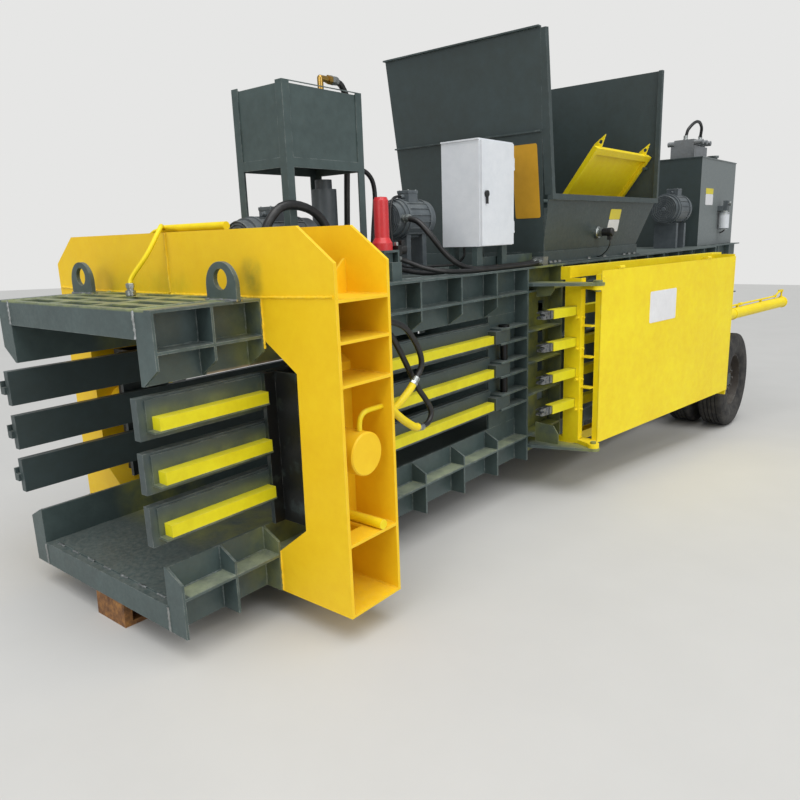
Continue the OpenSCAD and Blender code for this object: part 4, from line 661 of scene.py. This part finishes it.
class BALER_OT_lay_welds(bpy.types.Operator):
    """Lay the weld beads between the plates"""
    bl_idname = "baler.lay_welds"
    bl_label = "Lay the Welds"

    def execute(self, context):
        welds = context.scene.baler_welds
        tree = bead_tree()
        fine, coarse, yellow, seams, heavy = [], [], [], [], []

        def run(lines, *points):
            lines.append([machine(*point) for point in points])

        for side in (-1, 1):
            wall, edge, half = side * WALL_OUT, side * OUTER, side * HALF
            cells = [(a + RIB, b) for a, b in zip(RIBS, RIBS[1:] + (END_PLATE,)) if not (a < 0.6 and b > 0.9)]
            for a, b in cells:
                for low, high in ((UPPER_SHELF, ROOF - RIB), (SKIRT_BOTTOM, UPPER_SHELF - RIB),
                                  (FLOOR_BOTTOM, LOWER_SHELF - RIB), (LOWER_SHELF, LOWER_WALL_TOP)):
                    run(fine, (b, wall, low), (b, wall, high))
                    run(fine, (a, wall, low), (a, wall, high))
                shelves = (UPPER_SHELF, ROOF - RIB, LOWER_SHELF)
                for shelf in shelves:
                    run(fine, (a, wall, shelf), (b, wall, shelf))
                for x in (a, b):
                    for shelf in shelves:
                        run(fine, (x, wall, shelf), (x, edge * 0.995, shelf))
            # seams of the exit face, roof edge and floor edge
            run(heavy, (0, half, CEILING + 0.004), (0, half, ROOF - 0.003))
            run(heavy, (0, half, FLOOR_BOTTOM + 0.004), (0, half, -0.01))
            run(fine, (0.002, half, ROOF), (PORTAL[0], half, ROOF))
            run(fine, (PORTAL[1], half, ROOF), (HOPPER_FOOT, half, ROOF))
            # lifting lug feet
            for x in LUG_FACES:
                run(heavy, (x, side * LUG_FOOT[0], ROOF + 0.002), (x, side * LUG_FOOT[1], ROOF + 0.002))
            # portal plate against the frame, and down the lower boxes
            run(seams, (PORTAL[0], side * 0.01, ROOF + 0.002), (PORTAL[0], edge, ROOF + 0.002),
                (PORTAL[0], side * (PORTAL_HALF - 0.012), CROWN_SEAM))
            run(seams, (PORTAL[0], edge, 1.02), (PORTAL[0], edge, ROOF))
            run(seams, (PORTAL[0], edge, 0.072), (PORTAL[0], edge, FLOOR_BOTTOM))
            run(seams, (PORTAL[0], wall, LOWER_SHELF), (PORTAL[0], edge, LOWER_SHELF))
            inner = (PORTAL[0] + 0.016, PORTAL[1] - 0.016)
            for height in PORTAL_SHELVES:
                foot = OUTER + 0.014 if height > 1.0 or height < 0 else MIDDLE_SHELF_FOOT
                for x in inner:
                    run(yellow, (x, side * foot, height), (x, side * (PORTAL_HALF - 0.002), height))
                run(yellow, (inner[0], side * foot, height), (inner[1], side * foot, height))
            # one closed bead round each cell of the press walls
            for a, b in zip(WALL_RIBS, WALL_RIBS[1:]):
                for low, high in ((0.056, 0.367), (0.381, 0.687), (0.701, 1.067), (1.081, ROOF - RIB)):
                    run(coarse, (a + 0.008, wall, low), (a + 0.008, wall, high), (b - 0.004, wall, high),
                        (b - 0.004, wall, low), (a + 0.008, wall, low))
        # upright seam where the crown's two plates meet
        run(seams, (PORTAL[0], 0.0, ROOF + 0.010), (PORTAL[0], 0.0, PORTAL_TOP - 0.004))
        # liner stitched to the floor in 60 mm beads: every 150 mm at the exit, every 180 mm along the sides
        stitch = 0.06
        for y in [-0.48 + i * 0.15 for i in range(7)]:
            run(heavy, (0.035, y, LINER_TOP), (0.035, y + stitch, LINER_TOP))
        for x in [0.10 + i * 0.18 for i in range(14)]:
            for side in (-1, 1):
                run(fine, (x, side * 0.515, LINER_TOP), (x + stitch, side * 0.515, LINER_TOP))
        # each kind of bead: its lines, its width and ripple pitch over the usual ones, and its finish
        green, golden = ("enamel, grey-green", "steel_green"), ("enamel, golden yellow", "portal_yellow")
        for name, lines, width, ripple, finish in (
                ("weld_beads", fine, 1.0, 1.0, green), ("wall_weld_beads", coarse, 1.0, 2.5, green),
                ("portal_weld_beads", yellow, 1.0, 1.0, golden), ("portal_seams", seams, 1.3, 1.0, golden),
                ("heavy_weld_beads", heavy, 1.4, 0.9, ("weld metal", "bare_steel"))):
            sizes = {"Width": welds.width * width, "Ripple": welds.ripple * ripple, "Seed": welds.seed}
            grow(lines_mesh(name, lines), tree, sizes, name, *finish)
        return {"FINISHED"}


class BALER_OT_fit_fasteners(bpy.types.Operator):
    """Fit the bolts and the ferrules of the hoses"""
    bl_idname = "baler.fit_fasteners"
    bl_label = "Fit Bolts and Hose Ends"

    def execute(self, context):
        sizes = context.scene.baler_fasteners
        up, along = machine(0, 0, 1) - machine(0, 0, 0), machine(1, 0, 0) - machine(0, 0, 0)
        # M16 bolts of the hopper foot's near flange
        places = [(machine(x, -0.632, ROOF + 0.012), up, 0.016)
                  for x in (3.25, 3.32, 3.39, 3.9, 4.2, 4.61, 4.725, 4.84)]
        # M10 foot bolts of the tank stand
        places += [(machine(x, y, ROOF + 0.008), up, 0.010) for x in (1.202, 1.718) for y in (-0.158, 0.158)]
        # M24 bolts in a ring round the main barrel's rear end
        ring, height = 0.14, 0.56
        places += [(machine(8.36, ring * math.cos(a), height + ring * math.sin(a)), along, 0.024)
                   for a in [math.radians(30 + 60 * i) for i in range(6)]]
        grow(points_mesh("bolts", places), bolt_tree(), {"Head": sizes.head}, "frame_bolts", "machined steel",
             "bare_steel")
        # each hose end: its place, the way it points and the hose's radius
        rows = []
        turn = Matrix.Rotation(-STANCE_PITCH, 3, "Y")
        for side in (-1, 1):
            high = turn @ Vector((60, side * 4, 60)).normalized()
            low = turn @ Vector((80, side * -2, -15)).normalized()
            rows += [((PORTAL[1], side * 1.030, 1.120), along, THIN),
                     ((PORTAL[1], side * 0.990, 1.085), along, THIN),
                     ((1.084, side * 1.044, 0.800), high, THIN), ((1.131, side * 1.030, 0.580), low, THIN)]
        rows += [((1.664, -0.060, 2.348), along, MEDIUM), ((1.760, -0.120, 1.868), along, THIN),
                 ((1.830, 0.040, ROOF), up, MEDIUM), ((1.912, -0.100, ROOF), up, THIN),
                 ((0.905, -0.250, ROOF), up, THICK), ((1.385, -0.270, ROOF), up, THICK),
                 ((1.990, -0.293, 1.579), NEAR, MEDIUM), ((3.080, -0.603, 1.2653), -along, MEDIUM),
                 ((1.7244, -0.440, 1.350), along, THIN), ((3.080, -0.642, 1.2633), -along, THIN),
                 ((1.7244, -0.400, 1.300), along, THIN), ((2.240, -0.260, 1.2533), NEAR, THIN),
                 ((7.435, -0.200, 2.450), up, MEDIUM), ((7.980, -0.200, 2.489), up, MEDIUM)]
        ends = [(machine(*at), way, radius) for at, way, radius in rows]
        grow(points_mesh("ferrules", ends), ferrule_tree(), {"Length": sizes.ferrule}, "hose_ferrules",
             "zinc-plated steel", "bare_steel")
        return {"FINISHED"}


class BALER_OT_smooth_hoses(bpy.types.Operator):
    """Show the hoses and pipes as smooth tubes in place of their faceted solids"""
    bl_idname = "baler.smooth_hoses"
    bl_label = "Smooth the Hoses"

    def execute(self, context):
        for node, name, material, slot in (
                ("hoses", "hose_lines", "hose rubber", "rubber"),
                ("oil_pipes", "pipe_lines", "enamel, bright yellow", "guard_yellow")):
            mesh = bmesh.new()
            mesh.from_mesh(frame["nodes"][node].data)
            bmesh.ops.remove_doubles(mesh, verts=mesh.verts, dist=0.0002)
            for face in mesh.faces:
                face.smooth = True
            for edge in mesh.edges:
                if edge.is_manifold and edge.calc_face_angle(0.0) > math.radians(60):
                    edge.smooth = False
            piece = bmesh_piece(name, mesh, material)
            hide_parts(node)
        return {"FINISHED"}


class BALER_OT_fix_plates(bpy.types.Operator):
    """Fix the bare plates on the cover, the hopper and the tank"""
    bl_idname = "baler.fix_plates"
    bl_label = "Fix the Bare Plates"

    def execute(self, context):
        def on_cover(x, z):
            return unit(x, 0.0138, z)

        def on_hopper_front(y, z):
            return machine(3.189 - 0.190 * (z - 1.330) / 1.430, y, z)

        def on_hopper_side(x, z):
            return machine(x, -0.601 - 0.070 * (z - 1.330) / 0.370, z)

        def on_tank(x, z):
            return machine(x, -0.4505, z)

        # a tag's film runs to its edge; the two larger plates have a coloured border
        film = "vinyl film, "
        hopper, tank = (4.245, 4.465), (7.49, 7.78)
        for name, place, across, low, high, sizes, body, slot, face, edge in (
                ("cover_plate", on_cover, (0.756, 1.174), 0.775, 1.010, (0.0015, 0.012), "guard",
                 "cabinet_grey", "white", "pink"),
                ("hopper_plate", on_hopper_front, (-0.400, -0.598), 1.567, 2.060, (0.0015, 0.010), "frame",
                 "guard_yellow", "amber", "amber edge"),
                ("hopper_tag_upper", on_hopper_side, hopper, 1.548, 1.630, (0.0012, 0.006), "frame",
                 "cabinet_grey", "lemon", "lemon"),
                ("hopper_tag_lower", on_hopper_side, hopper, 1.452, 1.547, (0.0012, 0.006), "frame",
                 "cabinet_grey", "white", "white"),
                ("tank_tag_upper", on_tank, tank, 1.833, 1.898, (0.0012, 0.006), "frame",
                 "cabinet_grey", "lemon", "lemon"),
                ("tank_tag_lower", on_tank, tank, 1.708, 1.832, (0.0012, 0.006), "frame",
                 "cabinet_grey", "white", "white")):
            left, right = across
            corners = [place(left, high), place(right, high), place(right, low), place(left, low)]
            rounded_plate(name, corners, *sizes, body, slot, film + face, film + edge)
        return {"FINISHED"}


def fan_grille(mesh, face, y, z, cowl):
    """Wire rings on eight spokes, with a hub and a rim, in front of a motor's fan."""
    at, wire = (face, y, z), 0.003
    for share in (0.28, 0.42, 0.56, 0.70, 0.84):
        inner, outer = cowl * share - wire, cowl * share + wire
        turned(mesh, at, ALONG, [(inner, -0.007), (outer, -0.007), (outer, -0.001), (inner, -0.001)], 32,
               hollow=True)
    hub = ((0.16, 0.0), (0.16, 0.006), (0.12, 0.009), (0.03, 0.009))
    turned(mesh, at, -ALONG, [(cowl * share, height) for share, height in hub])
    rim = ((0.955, 0.0), (0.985, 0.0), (0.97, 0.008), (0.94, 0.008))
    turned(mesh, at, -ALONG, [(cowl * share, height) for share, height in rim], 40, hollow=True)
    middle = Vector((face - 0.004, y, z))
    for i in range(8):
        a = math.radians(22.5 + 45 * i)
        ray = Vector((0, math.cos(a), math.sin(a))) * cowl
        cable(mesh, [middle + ray * 0.14, middle + ray * 0.95], 0.0022, 6)


def terminal_lid(mesh, screws, x, y, z, length, radius):
    """The lid of a motor's terminal box with four screws and a cable gland, and the motor's lifting eye."""
    low_x, high_x = x + 0.3 * length, x + 0.6 * length
    low_y, high_y, top = y - 0.55 * radius, y + 0.2 * radius, z + radius + 0.050
    lip, inset = 0.003, 0.008
    block(mesh, (low_x - lip, low_y - lip, top - 0.012), (high_x + lip, high_y + lip, top + 0.006))
    screws += [(machine(px, py, top + 0.006), machine(0, 0, 1) - machine(0, 0, 0), 0.005)
               for px in (low_x + inset, high_x - inset) for py in (low_y + inset, high_y - inset)]
    turned(mesh, (low_x + 0.001, (low_y + high_y) / 2, top - 0.032), -ALONG,
           [(0.014, 0.0), (0.014, 0.010), (0.011, 0.012), (0.011, 0.022), (0.009, 0.026)], 8)
    eye_x, eye_radius = x + 0.72 * length, 0.016
    turned(mesh, (eye_x, y, z + radius + 0.002), UP,
           [(0.013, 0.0), (0.013, 0.006), (0.008, 0.008), (0.007, 0.014)], 12)
    eye = [(eye_x, y + eye_radius * math.sin(a), z + radius + 0.030 - eye_radius * math.cos(a))
           for a in [2 * math.pi * i / 14 for i in range(15)]]
    cable(mesh, eye, 0.005, 8)


class BALER_OT_fit_motor_trim(bpy.types.Operator):
    """Fit the fan grilles, terminal box lids and lifting eyes of the motors"""
    bl_idname = "baler.fit_motor_trim"
    bl_label = "Fit the Motor Trim"

    def execute(self, context):
        grilles, lids, screws = bmesh.new(), bmesh.new(), []
        for x, y, z, length, radius in MOTORS:
            fan_grille(grilles, x - 0.040, y, z, 0.9 * radius)
            terminal_lid(lids, screws, x, y, z, length, radius)
        bmesh_piece("fan_grilles", grilles, "machine enamel, grey")
        bmesh_piece("terminal_lids", lids, "machine enamel, grey")
        grow(points_mesh("screws", screws), bolt_tree(), {"Head": 0.9}, "lid_screws", "zinc-plated steel",
             "bare_steel")
        return {"FINISHED"}


def level_sensor(steel, plastic, wires):
    """Capacitive level sensor screwed into a boss on the hopper's near wall, with its cable to the deck."""
    x, z = 4.060, 1.450
    turned(steel, (x, -0.612, z), NEAR,
           [(0.048, 0.0), (0.048, 0.026), (0.044, 0.030), (0.033, 0.030), (0.033, 0.046)], 28)
    turned(steel, (x, -0.657, z), NEAR, [(0.036, 0.0), (0.036, 0.016)], 6)
    turned(plastic, (x, -0.672, z), NEAR,
           [(0.030, 0.0), (0.030, 0.040), (0.034, 0.043), (0.034, 0.078), (0.028, 0.086)], 24)
    block(plastic, (x - 0.017, -0.748, z - 0.060), (x + 0.017, -0.716, z - 0.020))
    cable(wires, [(x, -0.732, z - 0.055), (x, -0.734, 1.355), (x + 0.01, -0.700, 1.300),
                  (x + 0.03, -0.640, 1.262), (x + 0.05, -0.590, 1.262)], 0.004)


def solenoid_valve(steel, plastic):
    """Solenoid valve beside the pressure vessel: black body and coil, steel nuts, plug on top."""
    y, z = -0.435, 1.398
    block(plastic, (1.7245, y - 0.027, z - 0.026), (1.762, y + 0.027, z + 0.026))
    turned(steel, (1.740, y, z + 0.026), UP, [(0.013, 0.0), (0.013, 0.018), (0.010, 0.020)], 6)
    turned(plastic, (1.762, y, z), ALONG,
           [(0.012, 0.0), (0.026, 0.002), (0.028, 0.006), (0.028, 0.046), (0.024, 0.050)], 24)
    turned(steel, (1.812, y, z), ALONG, [(0.012, 0.0), (0.012, 0.010), (0.008, 0.012)], 6)
    block(plastic, (1.772, y - 0.015, z + 0.024), (1.802, y + 0.015, z + 0.054))


def service_filter(steel, bowl, wires):
    """Service filter on the tank's side: pale bowl, clamp rings, gauge and a thin hose to the tank."""
    x = FILTER_X
    turned(bowl, (x, -0.520, 1.414), UP,
           [(0.020, 0.0), (0.044, 0.004), (0.0585, 0.020), (0.0585, 0.196), (0.0570, 0.204)], 32)
    for height in (1.600, 1.628):
        turned(steel, (x, -0.520, height), UP,
               [(0.0550, 0.0), (0.0630, 0.0), (0.0630, 0.010), (0.0550, 0.010)], 32, hollow=True)
    turned(steel, (x, -0.560, 1.722), NEAR,
           [(0.010, 0.0), (0.010, 0.014), (0.026, 0.015), (0.028, 0.018), (0.028, 0.034), (0.025, 0.036)], 24)
    turned(steel, (x + 0.0595, -0.510, 1.668), ALONG,
           [(0.014, 0.0), (0.014, 0.016), (0.010, 0.018), (0.010, 0.030)], 6)
    cable(wires, [(x + 0.085, -0.510, 1.668), (x + 0.125, -0.512, 1.655), (x + 0.165, -0.515, 1.580),
                  (x + 0.160, -0.512, 1.480), (x + 0.120, -0.490, 1.400), (x + 0.100, -0.451, 1.375)], 0.009)


class BALER_OT_fit_small_parts(bpy.types.Operator):
    """Fit the level sensor, the black valve, the service filter's bowl, the branch pipe and the thin cables"""
    bl_idname = "baler.fit_small_parts"
    bl_label = "Fit the Small Parts"

    def execute(self, context):
        steel, plastic, bowl, wires, branch = (bmesh.new() for _ in range(5))
        level_sensor(steel, plastic, wires)
        solenoid_valve(steel, plastic)
        service_filter(steel, bowl, wires)
        # motor cable: from the terminal box over the deck hoses to the cabinet's floor
        cable(wires, [(2.076, -0.210, 1.712), (2.040, -0.212, 1.712), (1.975, -0.225, 1.690),
                      (1.938, -0.235, 1.600), (1.936, -0.250, 1.430), (1.960, -0.290, 1.310),
                      (2.060, -0.320, 1.284), (2.220, -0.350, 1.282), (2.370, -0.400, 1.286),
                      (2.436, -0.428, 1.330), (2.440, -0.430, 1.396)], 0.008)
        # branch pipe from the crown over the front plate, its end plugged above the exit roof
        cable(branch, [(0.625, 0.160, 1.550), (0.600, 0.120, 1.556), (0.550, 0.050, 1.562),
                       (0.500, -0.010, 1.545), (0.420, -0.014, 1.435), (0.360, 0.034, 1.336),
                       (0.345, 0.040, 1.300)], 0.011, 14)
        turned(steel, (0.345, 0.040, 1.306), -UP,
               [(0.014, 0.0), (0.020, 0.004), (0.020, 0.022), (0.016, 0.024), (0.016, 0.034)], 6)
        turned(steel, (0.345, 0.040, 1.273), -UP,
               [(0.018, 0.0), (0.024, 0.003), (0.024, 0.024), (0.020, 0.028)])
        bmesh_piece("branch_pipe", branch, "enamel, bright yellow")
        bmesh_piece("fittings", steel, "zinc-plated steel")
        bmesh_piece("plastic_housings", plastic, "moulded nylon, black")
        bmesh_piece("filter_bowl", bowl, "powder coat, light grey")
        bmesh_piece("thin_cables", wires, "hose rubber")
        return {"FINISHED"}


class BALER_OT_build_stage(bpy.types.Operator):
    """Lay the floor, hang the lamps and set the camera at the photograph's place"""
    bl_idname = "baler.build_stage"
    bl_label = "Build the Stage"

    def execute(self, context):
        stage = context.scene.baler_stage
        floor = bpy.data.objects.new("floor", bpy.data.meshes.new("floor"))
        context.collection.objects.link(floor)
        mesh = bmesh.new()
        bmesh.ops.create_grid(mesh, x_segments=8, y_segments=8, size=stage.floor_size / 2)
        mesh.to_mesh(floor.data)
        mesh.free()
        material, tree, shader, place = new_material("floor paint, pale")
        tone = blend(tree, noise(tree, place, 1.5, 5.0, 0.6), "#c6c5c2", stage.floor_colour)
        tree.links.new(tone, shader.inputs["Base Color"])
        shader.inputs["Roughness"].default_value = 0.75
        floor.data.materials.append(material)

        world = bpy.data.worlds.new("even sky")
        context.scene.world = world
        world.use_nodes = True
        tree = world.node_tree
        tree.nodes.clear()
        path = add(tree, "ShaderNodeLightPath").outputs
        seen = calc(tree, "MAXIMUM", path["Is Camera Ray"], path["Is Transmission Ray"])
        light = add(tree, "ShaderNodeBackground", {"Color": linear("#eef2f6"), "Strength": stage.sky})
        back = add(tree, "ShaderNodeBackground", {"Color": linear(stage.backdrop), "Strength": 1.0})
        both = add(tree, "ShaderNodeMixShader", {0: seen, 1: light.outputs[0], 2: back.outputs[0]})
        add(tree, "ShaderNodeOutputWorld", {"Surface": both.outputs[0]})

        for name, power, size, at, look in (
                ("roof light", stage.roof_light, None, (1.5, -2.5, 9.0), (3.0, 0.0, 0.8)),
                ("side lamp", stage.side_power, 6.0, (1.0, -9.5, 4.5), (3.5, 0.0, 0.9)),
                ("front lamp", stage.front_power, 5.0, (-8.0, -1.5, 4.5), (1.0, 0.0, 0.8))):
            # the roof light has no size: it comes from far off and falls evenly to the end of the floor
            lamp = bpy.data.lights.new(name, "AREA" if size else "SUN")
            lamp.energy = power
            if size:
                lamp.size = size
            else:
                lamp.angle = 1.0
            holder = bpy.data.objects.new(name, lamp)
            holder.location = at
            holder.rotation_euler = (Vector(look) - Vector(at)).to_track_quat("-Z", "Y").to_euler()
            context.collection.objects.link(holder)

        camera = bpy.data.cameras.new("photo camera")
        camera.sensor_width = 36.0
        camera.lens = CAMERA_LENS
        holder = bpy.data.objects.new("photo camera", camera)
        holder.matrix_world = Matrix.Translation(CAMERA_AT) @ Matrix(CAMERA_AXES).transposed().to_4x4()
        context.collection.objects.link(holder)
        context.scene.camera = holder
        context.scene.view_settings.view_transform = "Standard"
        return {"FINISHED"}


class BALER_PT_looks(bpy.types.Panel):
    """Lists the steps of the baler's looks"""
    bl_idname = "BALER_PT_looks"
    bl_label = "Waste Baler"
    bl_space_type = "VIEW_3D"
    bl_region_type = "UI"
    bl_category = "Baler"

    def draw(self, context):
        for key in GROUPS:
            group = getattr(context.scene, key)
            for name in group.bl_rna.properties.keys():
                if name not in ("rna_type", "name"):
                    self.layout.prop(group, name)
        for step in STEPS:
            self.layout.operator(step.bl_idname)


STEPS = (BALER_OT_finish_parts, BALER_OT_lay_welds, BALER_OT_fit_fasteners, BALER_OT_smooth_hoses,
         BALER_OT_fix_plates, BALER_OT_fit_motor_trim, BALER_OT_fit_small_parts, BALER_OT_build_stage)
GROUPS = {"baler_paint": BalerPaint, "baler_welds": BalerWelds, "baler_fasteners": BalerFasteners,
          "baler_stage": BalerStage}


def register():
    """Register the property groups, the operators and the panel."""
    for name, group in GROUPS.items():
        bpy.utils.register_class(group)
        setattr(bpy.types.Scene, name, PointerProperty(type=group))
    for step in STEPS:
        bpy.utils.register_class(step)
    bpy.utils.register_class(BALER_PT_looks)


def unregister():
    """Undo register."""
    bpy.utils.unregister_class(BALER_PT_looks)
    for step in reversed(STEPS):
        bpy.utils.unregister_class(step)
    for name, group in GROUPS.items():
        delattr(bpy.types.Scene, name)
        bpy.utils.unregister_class(group)


def main():
    """Build everything in order."""
    register()
    for step in STEPS:
        group, name = step.bl_idname.split(".")
        getattr(getattr(bpy.ops, group), name)()


if __name__ == "__main__":
    main()
